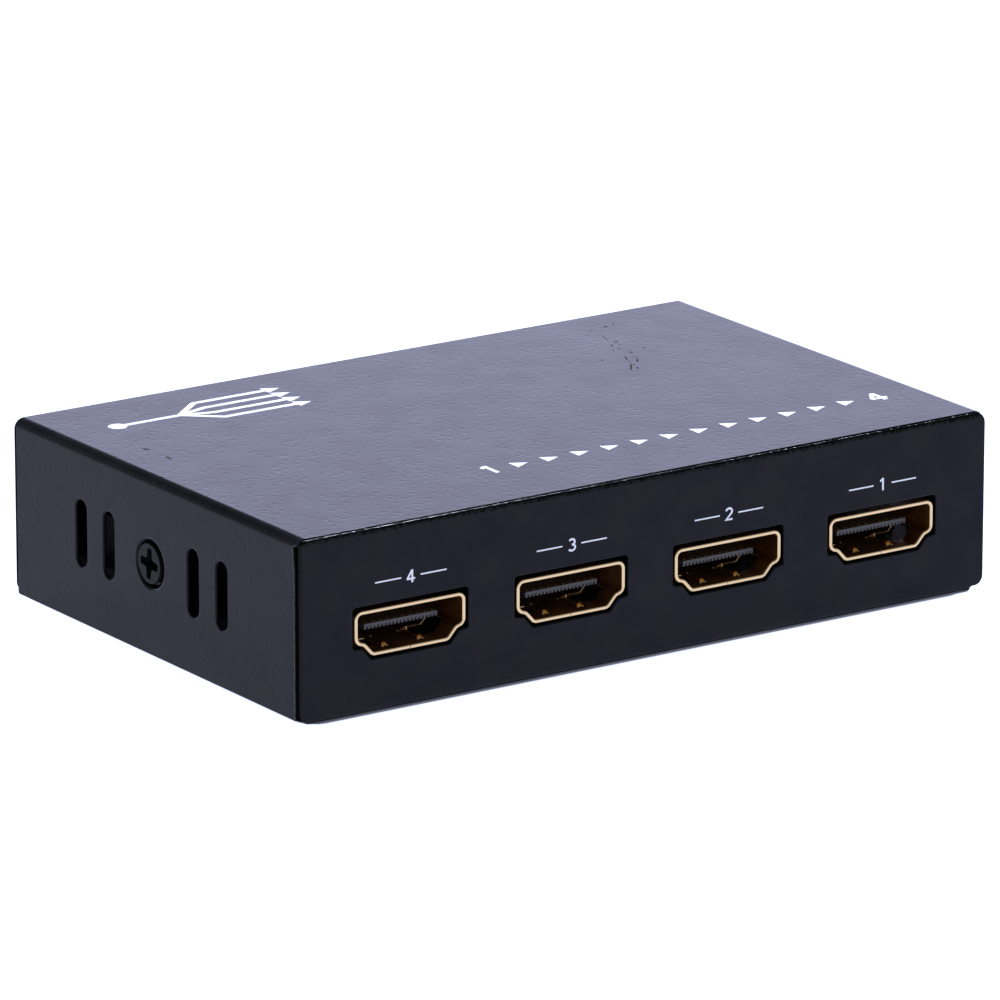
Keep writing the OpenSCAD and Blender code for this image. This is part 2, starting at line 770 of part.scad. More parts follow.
module socket_insulator() {
    color(resin_black) difference() {
        union() {
            along_y(block_rear - block_len, block_rear) mouth_outline(-insulator_fit);
            block([-tongue_w / 2, tongue_set, tongue_mid - tongue_t / 2],
                  [tongue_w / 2, block_rear - block_len + over, tongue_mid + tongue_t / 2]);
        }
        socket_contacts();
    }
}

// Power jack

// The pin's terminal stands behind the jack, and the leaf spring's under its front block
pin_terminal_y = jack_rear - leaf_fit - leaf_t / 2;
leaf_terminal_y = jack_face - jack_face_len - leaf_w;

module power_jack_body() {
    half = jack_w / 2;
    slot_half = leaf_w / 2 + leaf_fit;
    leaf_floor = jack_z - barrel_d / 2 - leaf_t - 2 * leaf_fit;
    terminal_half = leaf_t / 2 + leaf_fit;
    color(resin_black) difference() {
        union() {
            block([jack_x - half, jack_face - jack_face_len, board_top],
                  [jack_x + half, jack_face, board_top + jack_h]);
            block([jack_x - half, jack_rear, board_top], [jack_x + half, jack_face - over, jack_z]);
            rod_y(jack_rear, jack_face - over, half, jack_x, jack_z);
        }
        rod_y(barrel_floor, jack_face + over, barrel_d / 2, jack_x, jack_z);
        rod_y(jack_rear - over, barrel_floor + over, pin_root_d / 2, jack_x, jack_z);
        block([jack_x - slot_half, barrel_floor, leaf_floor],
              [jack_x + slot_half, jack_face - leaf_t, jack_z - pin_d]);
        block([jack_x - slot_half, leaf_terminal_y - terminal_half, board_top - over],
              [jack_x + slot_half, leaf_terminal_y + terminal_half, leaf_floor + over]);
    }
}

module terminal(y, top) {
    block([jack_x - leaf_w / 2, y - leaf_t / 2, board_z - leg_drop],
          [jack_x + leaf_w / 2, y + leaf_t / 2, top]);
}

module power_jack_pin() {
    r = pin_d / 2;
    shoulder = jack_face - pin_set - r;
    color(tin) {
        rod_y(pin_terminal_y, barrel_floor, pin_root_d / 2, jack_x, jack_z);
        rod_y(barrel_floor - over, shoulder, r, jack_x, jack_z);
        translate([jack_x, shoulder, jack_z]) sphere(r = r);
        terminal(pin_terminal_y, jack_z);
    }
}

module power_jack_spring() {
    leaf_low = jack_z - barrel_d / 2 - leaf_t - leaf_fit;
    color(tin) {
        block([jack_x - leaf_w / 2, barrel_floor + leaf_fit, leaf_low],
              [jack_x + leaf_w / 2, jack_face - leaf_t - leaf_fit, leaf_low + leaf_t]);
        terminal(leaf_terminal_y, leaf_low + leaf_t / 2);
    }
}

// Power lamp

lamp_lead_xs = [lamp_x - lead_pitch / 2, lamp_x + lead_pitch / 2];

module power_lamp() {
    r = lamp_d / 2;
    color("#9fd6ff") {
        rod_y(lamp_back, lamp_tip - r, r, lamp_x, lamp_z);
        translate([lamp_x, lamp_tip - r, lamp_z]) sphere(r = r);
        rod_y(lamp_back, lamp_back + lamp_flange_t, lamp_flange_d / 2, lamp_x, lamp_z);
    }
}

module power_lamp_leads() {
    half = lead_t / 2;
    color(tin) for (x = lamp_lead_xs) {
        block([x - half, lead_y - half, lamp_z - half], [x + half, lamp_back, lamp_z + half]);
        block([x - half, lead_y - half, board_z - leg_drop], [x + half, lead_y + half, lamp_z]);
    }
}

// Parts on the board

supply_x = -beside_chip - max(regulator_w, coil_w) / 2;
clock_x = beside_chip + chip_leg_len + max(crystal_w, memory_w) / 2;
memory_y = chip_y + chip_w / 4;
regulator_y = chip_y + small_gap + regulator_d / 2;
can_places = [[-mount_x, mount_ys[1] - board_head_d / 2 - small_gap - can_d / 2],
              [-mount_x + can_d + small_gap, jack_rear - leaf_t - small_gap - can_d / 2]];

module splitter_chip() {
    color(resin_black) on_board(0, chip_y, [chip_w, chip_w, chip_t], chip_lift);
}

// Legs along one side of a chip: each drops from the middle of the body's side to a foot on the board
module chip_leg_row(count, pitch, leg_w, body_d, body_t) {
    drop = chip_lift + body_t / 2;
    knee = -chip_leg_len / 2;
    for (i = [0 : count - 1])
        translate([(i - (count - 1) / 2) * pitch, -body_d / 2, board_top])
            along_x(-leg_w / 2, leg_w / 2)
                polygon([[0, drop], [knee - chip_leg_t, drop], [knee - chip_leg_t, chip_leg_t],
                         [-chip_leg_len, chip_leg_t], [-chip_leg_len, 0], [knee, 0],
                         [knee, drop - chip_leg_t], [0, drop - chip_leg_t]]);
}

module splitter_chip_legs() {
    color(tin) translate([0, chip_y, 0]) for (a = [0 : 90 : 270]) rotate(a)
        chip_leg_row(chip_legs, chip_leg_pitch, chip_leg_w, chip_w, chip_t);
}

module port_protection_chips() {
    color(resin_black) for (n = outputs)
        on_board(output_x(n), guard_y, [guard_w, guard_d, guard_t], chip_lift);
}

module memory_chip() {
    color(resin_black) on_board(clock_x, memory_y, [memory_w, memory_d, memory_h], chip_lift);
}

// Legs of the memory chip and of the protection chips
module small_chip_legs() {
    color(tin) for (a = [0, 180]) {
        translate([clock_x, memory_y, 0]) rotate(a)
            chip_leg_row(small_legs, small_leg_pitch, chip_leg_w, memory_d, memory_h);
        for (n = outputs) translate([output_x(n), guard_y, 0]) rotate(a)
            chip_leg_row(small_legs, small_leg_pitch, chip_leg_w, guard_d, guard_t);
    }
}

// Three narrow legs on one side and a wide tab on the other
module power_regulator_legs() {
    color(tin) translate([supply_x, regulator_y, 0]) {
        chip_leg_row(3, regulator_leg_pitch, 2 * chip_leg_w, regulator_d, regulator_h);
        rotate(180) chip_leg_row(1, 0, regulator_tab_w, regulator_d, regulator_h);
    }
}

module clock_crystal() {
    color(tin) on_board(clock_x, chip_y - chip_w / 4, [crystal_w, crystal_d, crystal_h]);
}

module power_regulator() {
    color(resin_black) on_board(supply_x, regulator_y, [regulator_w, regulator_d, regulator_h], chip_lift);
}

module power_inductor() {
    color("#3a3b3f") on_board(supply_x, chip_y - small_gap - coil_w / 2, [coil_w, coil_w, coil_h]);
}

module power_diode() {
    place = can_places[1];
    color(resin_black)
        on_board(place.x, place.y - can_d / 2 - small_gap - diode_d / 2, [diode_w, diode_d, diode_h]);
}

module bulk_capacitors() {
    color("#c9ccd2") for (place = can_places)
        translate([place.x, place.y, board_top + can_seat_t]) cylinder(h = can_h, d = can_d);
}

module bulk_capacitor_seats() {
    color(resin_black) for (place = can_places) on_board(place.x, place.y, [can_d, can_d, can_seat_t]);
}

// One row of capacitors along each side of the splitter chip
module ceramic_capacitors() {
    per_side = floor(chip_w / small_pitch);
    row_y = -chip_edge - small_gap - cap_d / 2;
    color("#b08a5e") translate([0, chip_y, 0]) for (a = [0 : 90 : 270], i = [0 : per_side - 1]) rotate(a)
        on_board((i - (per_side - 1) / 2) * small_pitch, row_y, [cap_w, cap_d, cap_h]);
}

// Two resistors behind each protection chip
module chip_resistors() {
    row_y = guard_y + guard_d / 2 + chip_leg_len + small_gap + resistor_d / 2;
    color("#232327") for (n = outputs, side = [-1, 1])
        on_board(output_x(n) + side * small_pitch / 2, row_y, [resistor_w, resistor_d, resistor_h]);
}

bottom_chassis();
top_cover();
left_cover_screw();
right_cover_screw();
circuit_board();
board_standoffs();
board_screws();
for (n = outputs) {
    at_output(n) socket_shell();
    at_output(n) socket_insulator();
    at_output(n) socket_contacts();
}
at_input() socket_shell();  // input_shell
at_input() socket_insulator();  // input_insulator
at_input() socket_contacts();  // input_contacts
power_jack_body();
power_jack_pin();
power_jack_spring();
power_lamp();
power_lamp_leads();
splitter_chip();
splitter_chip_legs();
port_protection_chips();
memory_chip();
small_chip_legs();
clock_crystal();
power_regulator();
power_regulator_legs();
power_inductor();
power_diode();
bulk_capacitors();
bulk_capacitor_seats();
ceramic_capacitors();
chip_resistors();
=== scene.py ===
"""Looks of a four-way video splitter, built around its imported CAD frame.

Sizes are in millimetres until a mesh becomes a piece of the scene, which is in metres.
X runs along the row of outputs, the outputs face -Y, and Z is up.
"""
import functools
import logging
import math
from bisect import bisect_right
from collections import Counter
from collections.abc import Callable, Iterable, Sequence
from dataclasses import dataclass, field, replace
from enum import Enum
from itertools import chain, starmap
from typing import Any

import bmesh
import bpy
from mathutils import Matrix, Vector
from mathutils.geometry import delaunay_2d_cdt


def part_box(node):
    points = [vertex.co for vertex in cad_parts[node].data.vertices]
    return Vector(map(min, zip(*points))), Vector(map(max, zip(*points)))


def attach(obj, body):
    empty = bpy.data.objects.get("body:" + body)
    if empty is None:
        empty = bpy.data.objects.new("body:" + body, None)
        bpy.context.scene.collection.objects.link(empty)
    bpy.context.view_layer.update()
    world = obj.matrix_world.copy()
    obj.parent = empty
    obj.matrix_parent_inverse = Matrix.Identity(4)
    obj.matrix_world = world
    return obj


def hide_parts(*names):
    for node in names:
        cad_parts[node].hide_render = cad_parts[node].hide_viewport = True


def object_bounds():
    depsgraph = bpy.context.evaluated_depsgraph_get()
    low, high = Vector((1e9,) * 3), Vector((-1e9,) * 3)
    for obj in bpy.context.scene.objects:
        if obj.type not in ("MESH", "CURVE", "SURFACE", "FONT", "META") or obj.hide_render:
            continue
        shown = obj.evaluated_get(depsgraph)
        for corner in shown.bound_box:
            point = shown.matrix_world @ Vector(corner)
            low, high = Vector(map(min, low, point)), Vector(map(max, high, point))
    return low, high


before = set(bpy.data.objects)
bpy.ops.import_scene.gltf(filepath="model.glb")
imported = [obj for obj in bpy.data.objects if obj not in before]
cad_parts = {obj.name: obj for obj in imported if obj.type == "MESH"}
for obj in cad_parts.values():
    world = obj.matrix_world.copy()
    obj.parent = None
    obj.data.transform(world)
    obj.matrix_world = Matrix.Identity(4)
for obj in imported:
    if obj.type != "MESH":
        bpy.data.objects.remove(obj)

CAD_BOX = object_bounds()
LOG = logging.getLogger("video_splitter")

MM = 0.001
PRINT_ROOM = 0.02  # the painted faces stand this far inside the CAD box, so the ink on them stays in it
QUARTER = math.pi / 2

Point = tuple[float, float]
Corner = tuple[float, float, float]
Ring = list[bmesh.types.BMVert]
Tree = bpy.types.NodeTree
Node = bpy.types.Node
Socket = bpy.types.NodeSocket


class Body(Enum):
    """Bodies of the frame that pieces ride on."""

    CASE = "case"
    LEFT_SCREW = "left_screw"
    RIGHT_SCREW = "right_screw"


class Slot(Enum):
    """Names of material slots; the socket row pairs two of them with its pieces, but nothing reads them."""

    POWDER_COAT = "powder_coated_steel"
    BLACK_OXIDE = "black_oxide_steel"
    SHELL = "gold_plated_shell"
    POLYMER = "connector_polymer"


class Side(Enum):
    """The two sides of the case, as the sign of X."""

    LEFT = -1
    RIGHT = 1


def linear(colour: str) -> tuple[float, float, float, float]:
    """Turn an sRGB hex colour into linear light.

    Args:
        colour: Six hex digits after a hash.

    Returns:
        Red, green, blue and a full alpha.
    """
    parts = [int(colour[i:i + 2], 16) / 255 for i in (1, 3, 5)]
    lit = [c / 12.92 if c <= 0.04045 else ((c + 0.055) / 1.055) ** 2.4 for c in parts]
    return lit[0], lit[1], lit[2], 1.0


def add_node(tree: Tree, kind: str, inputs: dict[Any, Any] | None = None, out: str | int = 0,
             **settings: Any) -> Socket:
    """Add one shader node with its settings and links.

    Args:
        tree: Node tree that takes the node.
        kind: Blender's name of the node type, after ShaderNode.
        inputs: Input name or number, with a constant or the output socket to link to it.
        out: Name or number of the output that is asked for.
        **settings: Properties of the node itself.

    Returns:
        That output of the new node.
    """
    node = tree.nodes.new(f"ShaderNode{kind}")
    for name, value in settings.items():
        setattr(node, name, value)
    for key, value in (inputs or {}).items():
        if isinstance(value, Socket):
            tree.links.new(value, node.inputs[key])
        else:
            node.inputs[key].default_value = value
    return node.outputs[out]


def per_metre(size: float) -> float:
    """Give the texture scale, in repeats a metre, of a pattern of that many millimetres."""
    return 1 / (size * MM)


def add_object(name: str, data: bpy.types.ID) -> bpy.types.Object:
    """Put a mesh, a camera or a lamp in the scene.

    Args:
        name: Name of the new object.
        data: What it shows.

    Returns:
        The new object.
    """
    made = bpy.data.objects.new(name, data)
    bpy.context.scene.collection.objects.link(made)
    return made


# Finishes


@dataclass(frozen=True)
class Finish:
    """A finish, made into a material the first time it is asked for."""

    name: str
    colour: str
    roughness: float
    metallic: float = 0.0
    ior: float = 1.5

    @functools.cache
    def material(self) -> bpy.types.Material:
        """Give the finish's material.

        Returns:
            The material, built on the first call.
        """
        made = bpy.data.materials.new(self.name)
        made.use_nodes = True
        made.diffuse_color = linear(self.colour)
        tree = made.node_tree
        tree.nodes.clear()
        place = add_node(tree, "TexCoord", out="Object")
        surface = add_node(tree, "BsdfPrincipled", {
            "Base Color": linear(self.colour), "Roughness": self.roughness,
            "Metallic": self.metallic, "IOR": self.ior})
        tree.links.new(surface, tree.nodes.new("ShaderNodeOutputMaterial").inputs["Surface"])
        self.dress(tree, surface.node, place)
        return made

    def dress(self, tree: Tree, shader: Node, place: Socket) -> None:
        """Add what the finish shows beyond its plain colour.

        Args:
            tree: Node tree of the material.
            shader: Its principled shader.
            place: Position on the piece, in metres.
        """

    def lay(self, tree: Tree, shader: Node, coats: Sequence[tuple[Socket, str]],
            relief: Sequence[tuple[Socket, float]] = ()) -> None:
        """Lay coats of colour over the finish's own, and layers of relief.

        Args:
            tree: Node tree of the material.
            shader: Its principled shader.
            coats: Share and colour of each coat.
            relief: Height of each layer as a value from 0 to 1, and its depth in millimetres.
        """
        tone: Any = linear(self.colour)
        for share, colour in coats:
            tone = add_node(tree, "Mix", {0: share, 6: tone, 7: linear(colour)}, 2, data_type="RGBA")
        if coats:
            tree.links.new(tone, shader.inputs["Base Color"])
        below: dict[str, Socket] = {}
        for height, depth in relief:
            below = {"Normal": add_node(tree, "Bump", {
                "Strength": 1.0, "Distance": depth * MM, "Height": height, **below})}
        if relief:
            tree.links.new(below["Normal"], shader.inputs["Normal"])


@dataclass(frozen=True)
class Nick:
    """A nick in the film on the top: its middle, its length and width, and the way that it runs in degrees."""

    centre: Point
    size: Point
    turn: float
    reach: float = 1.0
    core: float = 0.5

    def mask(self, tree: Tree, place: Socket) -> Socket:
        """Give a value that is 1 in the nick and 0 around it.

        Args:
            tree: Node tree of the material.
            place: Position on the piece, in metres.

        Returns:
            The value's socket.
        """
        local = add_node(tree, "Mapping", {
            "Vector": place, "Location": (self.centre[0] * MM, self.centre[1] * MM, CAD_BOX[1][2]),
            "Rotation": (0, 0, math.radians(self.turn)),
            "Scale": (self.size[0] / 2 * MM, self.size[1] / 2 * MM, self.reach * MM)}, vector_type="TEXTURE")
        far = add_node(tree, "VectorMath", {0: local}, "Value", operation="LENGTH")
        return add_node(tree, "MapRange", {
            "Value": far, "From Min": self.core, "From Max": 1.0, "To Min": 1.0, "To Max": 0.0})


@dataclass(frozen=True)
class PowderCoat(Finish):
    """Semi-gloss black polyester powder, sprayed and baked on steel.

    The film levels almost flat and keeps scattered shallow dents, which show as short light and dark dashes
    where a bright backdrop mirrors in it. On the edges it pulls into beads with a spark on each, and the edges
    are painted a deeper black as painted shade; on cut edges it is so thin that the steel greys it. The dents,
    the grit and the beads are drawn coarser than real ones, which are too fine to show in the render.
    """

    warm: str = "#1b191e"
    edge_shade: str = "#020203"
    thin: str = "#5b585e"
    primer: str = "#2a2422"
    cloud: float = 5.0
    cloud_span: Point = (0.35, 0.65)
    gloss_swing: float = 0.03
    dent: float = 1.1
    dent_width: float = 0.5
    dent_depth: float = 0.0102
    dent_stray: float = 0.8
    grit: float = 0.3
    grit_depth: float = 0.0012
    bead: float = 0.55
    bead_width: float = 0.7
    bead_depth: float = 0.07
    nick_depth: float = 0.02
    nick_roughness: float = 0.85
    nicks: tuple[Nick, ...] = ()

    def dress(self, tree: Tree, shader: Node, place: Socket) -> None:
        """Add the dents, the fine grit, the beads on the edges, the cloudy tone and the nicks.

        Args:
            tree: Node tree of the material.
            shader: Its principled shader.
            place: Position on the piece, in metres.
        """
        cloud = add_node(tree, "TexNoise", {"Vector": place, "Scale": per_metre(self.cloud), "Detail": 4.0})
        cloud = add_node(tree, "MapRange", {
            "Value": cloud, "From Min": self.cloud_span[0], "From Max": self.cloud_span[1]})
        gloss = add_node(tree, "MapRange", {
            "Value": cloud, "To Min": self.roughness - self.gloss_swing, "To Max": self.roughness + self.gloss_swing})
        stray = add_node(tree, "TexNoise", {
            "Vector": place, "Scale": per_metre(self.dent), "Detail": 0.0}, "Color")
        strayed = add_node(tree, "VectorMath", {
            0: stray, 1: [self.dent_stray * MM] * 3, 2: place}, operation="MULTIPLY_ADD")
        spots = add_node(tree, "TexVoronoi", {"Vector": strayed, "Scale": per_metre(self.dent)})
        dents = add_node(tree, "MapRange", {
            "Value": spots, "From Max": self.dent_width}, interpolation_type="SMOOTHSTEP")
        grit = add_node(tree, "TexNoise", {"Vector": place, "Scale": per_metre(self.grit), "Detail": 1.0})
        blobs = add_node(tree, "TexVoronoi", {"Vector": place, "Scale": per_metre(self.bead)})
        beads = add_node(tree, "MapRange", {
            "Value": blobs, "From Max": self.bead_width, "To Min": 1.0, "To Max": 0.0},
            interpolation_type="SMOOTHSTEP")
        edge = add_node(tree, "Attribute", out="Fac", attribute_name="edge")
        beaded = add_node(tree, "Math", {0: beads, 1: edge}, operation="MULTIPLY")
        cut = add_node(tree, "MapRange", {"Value": edge, "From Min": 1.0, "From Max": 2.0})
        bare = add_node(tree, "Math", {0: cut, 1: grit}, operation="MULTIPLY")
        # edge_shade is painted shade: a deeper black on the rounded edges, where they would mirror a dark sky
        coats = [(cloud, self.warm), (edge, self.edge_shade), (bare, self.thin)]
        relief = [(dents, self.dent_depth), (grit, self.grit_depth), (beaded, self.bead_depth)]
        if self.nicks:
            chipped, *rest = [nick.mask(tree, place) for nick in self.nicks]
            for mask in rest:
                chipped = add_node(tree, "Math", {0: chipped, 1: mask}, operation="MAXIMUM")
            gloss = add_node(tree, "Mix", {0: chipped, 2: gloss, 3: self.nick_roughness})
            whole = add_node(tree, "Math", {0: 1.0, 1: chipped}, operation="SUBTRACT")
            coats.append((chipped, self.primer))
            relief.append((whole, self.nick_depth))
        tree.links.new(gloss, shader.inputs["Roughness"])
        self.lay(tree, shader, coats, relief)


@dataclass(frozen=True)
class PlatedMetal(Finish):
    """Metal stamped, drawn or turned, then plated: a clear colour with fine drawing marks in its gloss.

    Real marks are too fine to show in the render, so these are drawn coarser.
    """

    metallic: float = 1.0
    grain: float = 0.3
    stretch: tuple[float, float, float] = (1.0, 0.25, 1.0)
    depth: float = 0.004
    smear: float = 4.0
    smear_span: Point = (0.3, 0.7)
    gloss_span: Point = (0.8, 1.25)

    def dress(self, tree: Tree, shader: Node, place: Socket) -> None:
        """Add the drawing marks and the uneven gloss that handling leaves.

        Args:
            tree: Node tree of the material.
            shader: Its principled shader.
            place: Position on the piece, in metres.
        """
        drawn = add_node(tree, "Mapping", {"Vector": place, "Scale": self.stretch})
        marks = add_node(tree, "TexNoise", {"Vector": drawn, "Scale": per_metre(self.grain), "Detail": 2.0})
        smear = add_node(tree, "TexNoise", {"Vector": place, "Scale": per_metre(self.smear), "Detail": 3.0})
        gloss = add_node(tree, "MapRange", {
            "Value": smear, "From Min": self.smear_span[0], "From Max": self.smear_span[1],
            "To Min": self.roughness * self.gloss_span[0], "To Max": self.roughness * self.gloss_span[1]})
        tree.links.new(gloss, shader.inputs["Roughness"])
        self.lay(tree, shader, [], [(marks, self.depth)])


@dataclass(frozen=True)
class SleevedCan(PlatedMetal):
    """Drawn aluminium can in a shrunk black sleeve, which leaves the crimped top bare; the black sleeve is partly
    painted shade that keeps the can dark inside the case.
    """

    sleeve_and_shade: str = "#030304"
    sleeve_top: float = 13.0

    def dress(self, tree: Tree, shader: Node, place: Socket) -> None:
        """Put the sleeve, partly painted shade, over the can below its top.

        Args:
            tree: Node tree of the material.
            shader: Its principled shader.
            place: Position on the piece, in metres.
        """
        super().dress(tree, shader, place)
        height = add_node(tree, "SeparateXYZ", {"Vector": place}, "Z")
        bare = add_node(tree, "Math", {0: height, 1: self.sleeve_top * MM}, operation="GREATER_THAN")
        tone = add_node(tree, "Mix", {
            0: bare, 6: linear(self.sleeve_and_shade), 7: linear(self.colour)}, 2, data_type="RGBA")
        tree.links.new(tone, shader.inputs["Base Color"])
        tree.links.new(bare, shader.inputs["Metallic"])


@dataclass(frozen=True)
class MouldedResin(Finish):
    """Filled plastic, ceramic, ink or a dull conversion coat: an even colour over a fine grain.

    The real grain is too fine to show in the render, so this one is drawn coarser.
    """

    grain: float = 0.12
    depth: float = 0.004
    fleck: str = "#ffffff"
    flecked: float = 0.05

    def dress(self, tree: Tree, shader: Node, place: Socket) -> None:
        """Add the grain and a slight fleck in the colour.

        Args:
            tree: Node tree of the material.
            shader: Its principled shader.
            place: Position on the piece, in metres.
        """
        grain = add_node(tree, "TexNoise", {"Vector": place, "Scale": per_metre(self.grain), "Detail": 2.0})
        share = add_node(tree, "Math", {0: grain, 1: self.flecked}, operation="MULTIPLY")
        self.lay(tree, shader, [(share, self.fleck)], [(grain, self.depth)])


@dataclass(frozen=True)
class SolderMask(Finish):
    """Green solder mask screened over etched copper: a dull film, lighter where a track runs under it.

    The tracks' width, length and spacing are shares of the pattern's pitch, which is coarser than a real one so
    that the tracks show.
    """

    track: str = "#0d1c17"
    pitch: float = 1.3
    track_width: float = 0.12
    track_length: float = 3.0
    track_step: float = 0.5
    film: float = 0.03

    def dress(self, tree: Tree, shader: Node, place: Socket) -> None:
        """Add the tracks under the film and their slight relief.

        Args:
            tree: Node tree of the material.
            shader: Its principled shader.
            place: Position on the piece, in metres.
        """
        tracks = add_node(tree, "TexBrick", {
            "Vector": place, "Scale": per_metre(self.pitch), "Mortar Size": self.track_width,
            "Brick Width": self.track_length, "Row Height": self.track_step,
            "Color1": (0, 0, 0, 1), "Color2": (0, 0, 0, 1), "Mortar": (1, 1, 1, 1)})
        self.lay(tree, shader, [(tracks, self.track)], [(tracks, self.film)])


@dataclass(frozen=True)
class LitBoard(Finish):
    """Opal board lit from below, clouded a little by its filler, with a painted contact shadow where the case stands.
    """

    glow: float = 1.32
    tint: str = "#e0e6ff"
    filler: str = "#66666a"
    cloud: float = 60.0
    shade_half: Point = (45.75, 29.45)
    shade_corner: float = 2.5
    shade_fade: Point = (-0.1, 0.45)

    def dress(self, tree: Tree, shader: Node, place: Socket) -> None:
        """Add the light from below, the painted shadow under the case, and the clouds in the board's own tone.

        Args:
            tree: Node tree of the material.
            shader: Its principled shader.
            place: Position on the piece, in metres.
        """
        shader.inputs["Emission Color"].default_value = linear(self.tint)
        core = [(half - self.shade_corner) * MM for half in self.shade_half]
        apart = place
        for operation, vector in (("ABSOLUTE", (0, 0, 0)), ("SUBTRACT", (*core, 0)), ("MAXIMUM", (0, 0, 0))):
            apart = add_node(tree, "VectorMath", {0: apart, 1: vector}, operation=operation)
        far = add_node(tree, "VectorMath", {0: apart}, "Value", operation="LENGTH")
        dark, bright = ((self.shade_corner + fade) * MM for fade in self.shade_fade)
        lit = add_node(tree, "MapRange", {
            "Value": far, "From Min": dark, "From Max": bright, "To Max": self.glow},
            interpolation_type="SMOOTHSTEP")
        tree.links.new(lit, shader.inputs["Emission Strength"])
        cloud = add_node(tree, "TexNoise", {"Vector": place, "Scale": per_metre(self.cloud)})
        self.lay(tree, shader, [(cloud, self.filler)])


@dataclass(frozen=True)
class ClearResin(Finish):
    """Cast epoxy lens: clear and glossy, with a slight haze from the mould, drawn coarse enough to show."""

    clear: float = 0.85
    haze: float = 0.5
    gloss_span: Point = (0.7, 1.4)

    def dress(self, tree: Tree, shader: Node, place: Socket) -> None:
        """Let light through the lens and blur its gloss in patches.

        Args:
            tree: Node tree of the material.
            shader: Its principled shader.
            place: Position on the piece, in metres.
        """
        shader.inputs["Transmission Weight"].default_value = self.clear
        cloud = add_node(tree, "TexNoise", {"Vector": place, "Scale": per_metre(self.haze)})
        gloss = add_node(tree, "MapRange", {
            "Value": cloud, "To Min": self.roughness * self.gloss_span[0],
            "To Max": self.roughness * self.gloss_span[1]})
        tree.links.new(gloss, shader.inputs["Roughness"])


# Nicks in the cover's coat: a trail near its rear right corner, and two by its left edge
NICKS = tuple(starmap(Nick, (
    ((24.3, 8.2), (3.8, 0.3), 55), ((26.6, 10.2), (1.8, 0.34), 56), ((26.1, 11.8), (2.5, 0.26), 64),
    ((28.0, 13.5), (0.8, 0.5), 108), ((27.9, 17.3), (1.0, 0.36), 79), ((29.3, 18.5), (0.6, 0.6), 0),
    ((29.2, 20.6), (3.0, 0.14), 74), ((32.3, 25.0), (0.7, 0.6), 119), ((23.2, 12.6), (0.5, 0.5), 0),
    ((30.5, 14.3), (1.0, 0.24), 73), ((24.7, 7.4), (1.3, 0.22), 58), ((33.8, 25.5), (1.5, 0.14), 71),
    ((25.6, 10.3), (0.5, 0.3), 20), ((25.2, 8.9), (0.7, 0.24), 60), ((26.9, 11.6), (0.5, 0.2), 70),
    ((27.3, 11.4), (0.5, 0.3), 40), ((28.3, 14.2), (0.7, 0.16), 76), ((27.9, 16.0), (0.8, 0.24), 80),
    ((26.9, 15.6), (0.6, 0.2), 40), ((29.0, 17.3), (0.9, 0.16), 75), ((29.7, 24.4), (0.8, 0.2), 110),
    ((-41.9, 10.4), (1.3, 0.6), 106), ((-41.7, 5.9), (1.6, 0.5), 89))))

# Opal acrylic over lamps: an even white that hardly takes a shadow, so the shadow under the case is painted
LIGHT_TABLE = LitBoard("opal_acrylic_light_table", "#606062", 0.6)
# Powder coat on steel: near black, mirrors the pale surroundings at a low angle
POWDER_COAT = PowderCoat("baked_powder_coat_on_steel", "#10131b", 0.2, ior=1.2)
# The same coat on the cover, a little deeper, with nicks that bare its dull primer
COVER_COAT = replace(POWDER_COAT, name="nicked_powder_coat_on_steel", colour="#070a10", warm="#121016", nicks=NICKS)
# Oiled black oxide on steel: dull black with a brownish sheen
BLACK_OXIDE = MouldedResin("oiled_black_oxide_on_steel", "#0f0d0d", 0.22, ior=1.15, grain=0.2, flecked=0.01)
# Painted shade: a dull black on the walls of cuts, in the screw's recess and on the panels' steps, where shade falls
SHADE_BLACK = MouldedResin("painted_shade_black_on_cut_walls", "#040405", 0.85, ior=1.1, flecked=0.004)
# Flash gold over nickel on stamped brass: a pale champagne gold
GOLD_SHELL = PlatedMetal("flash_gold_plated_brass", "#d8bd92", 0.24)
# The same stamping on its faces, darkened as painted shade inside the mouth and behind the panel: a dull dark brown
# gold
SHADED_GOLD = PlatedMetal("painted_shade_dark_gold_on_brass", "#8a5e30", 0.5)
# Hard gold on the contacts: deeper in colour than the shell
GOLD_CONTACT = PlatedMetal("hard_gold_plated_bronze", "#d0943c", 0.24)
# Glass-filled connector polymer: dark slate, dull
POLYMER = MouldedResin("glass_filled_polyamide", "#3c3b3d", 0.55)
# Screened ink: dense white, a touch blue
INK = MouldedResin("screened_epoxy_ink", "#f4f8ff", 0.35, grain=0.25, fleck="#c9d2e4", flecked=0.25)
# Solder mask: deep green with a dull sheen
MASK = SolderMask("screened_solder_mask", "#07120f", 0.65)
# Dull nickel on brass, zinc on steel and tin on copper: soft greys
NICKEL = PlatedMetal("dull_nickel_on_brass", "#8f8b83", 0.36)
ZINC = PlatedMetal("clear_zinc_on_steel", "#8b8e93", 0.4)
TIN = PlatedMetal("tin_dipped_copper", "#c9cacc", 0.38)
# Drawn cans: dull aluminium in a black sleeve that is partly painted shade, and brighter steel
ALUMINIUM = SleevedCan("sleeved_and_shaded_aluminium_can", "#8a8c90", 0.75)
STEEL_CAN = PlatedMetal("deep_drawn_steel", "#b5b7ba", 0.3)
# Moulded epoxy and nylon, pressed ferrite, fired ceramic and glazed resistors: dull darks and a tan
EPOXY = MouldedResin("moulded_epoxy", "#1a1a1d", 0.5)
NYLON = MouldedResin("moulded_nylon", "#17171a", 0.42)
FERRITE = MouldedResin("pressed_ferrite", "#3a3b3f", 0.6)
CERAMIC = MouldedResin("fired_ceramic_body", "#a9825a", 0.45)
GLAZE = MouldedResin("glazed_resistor_body", "#232327", 0.35)
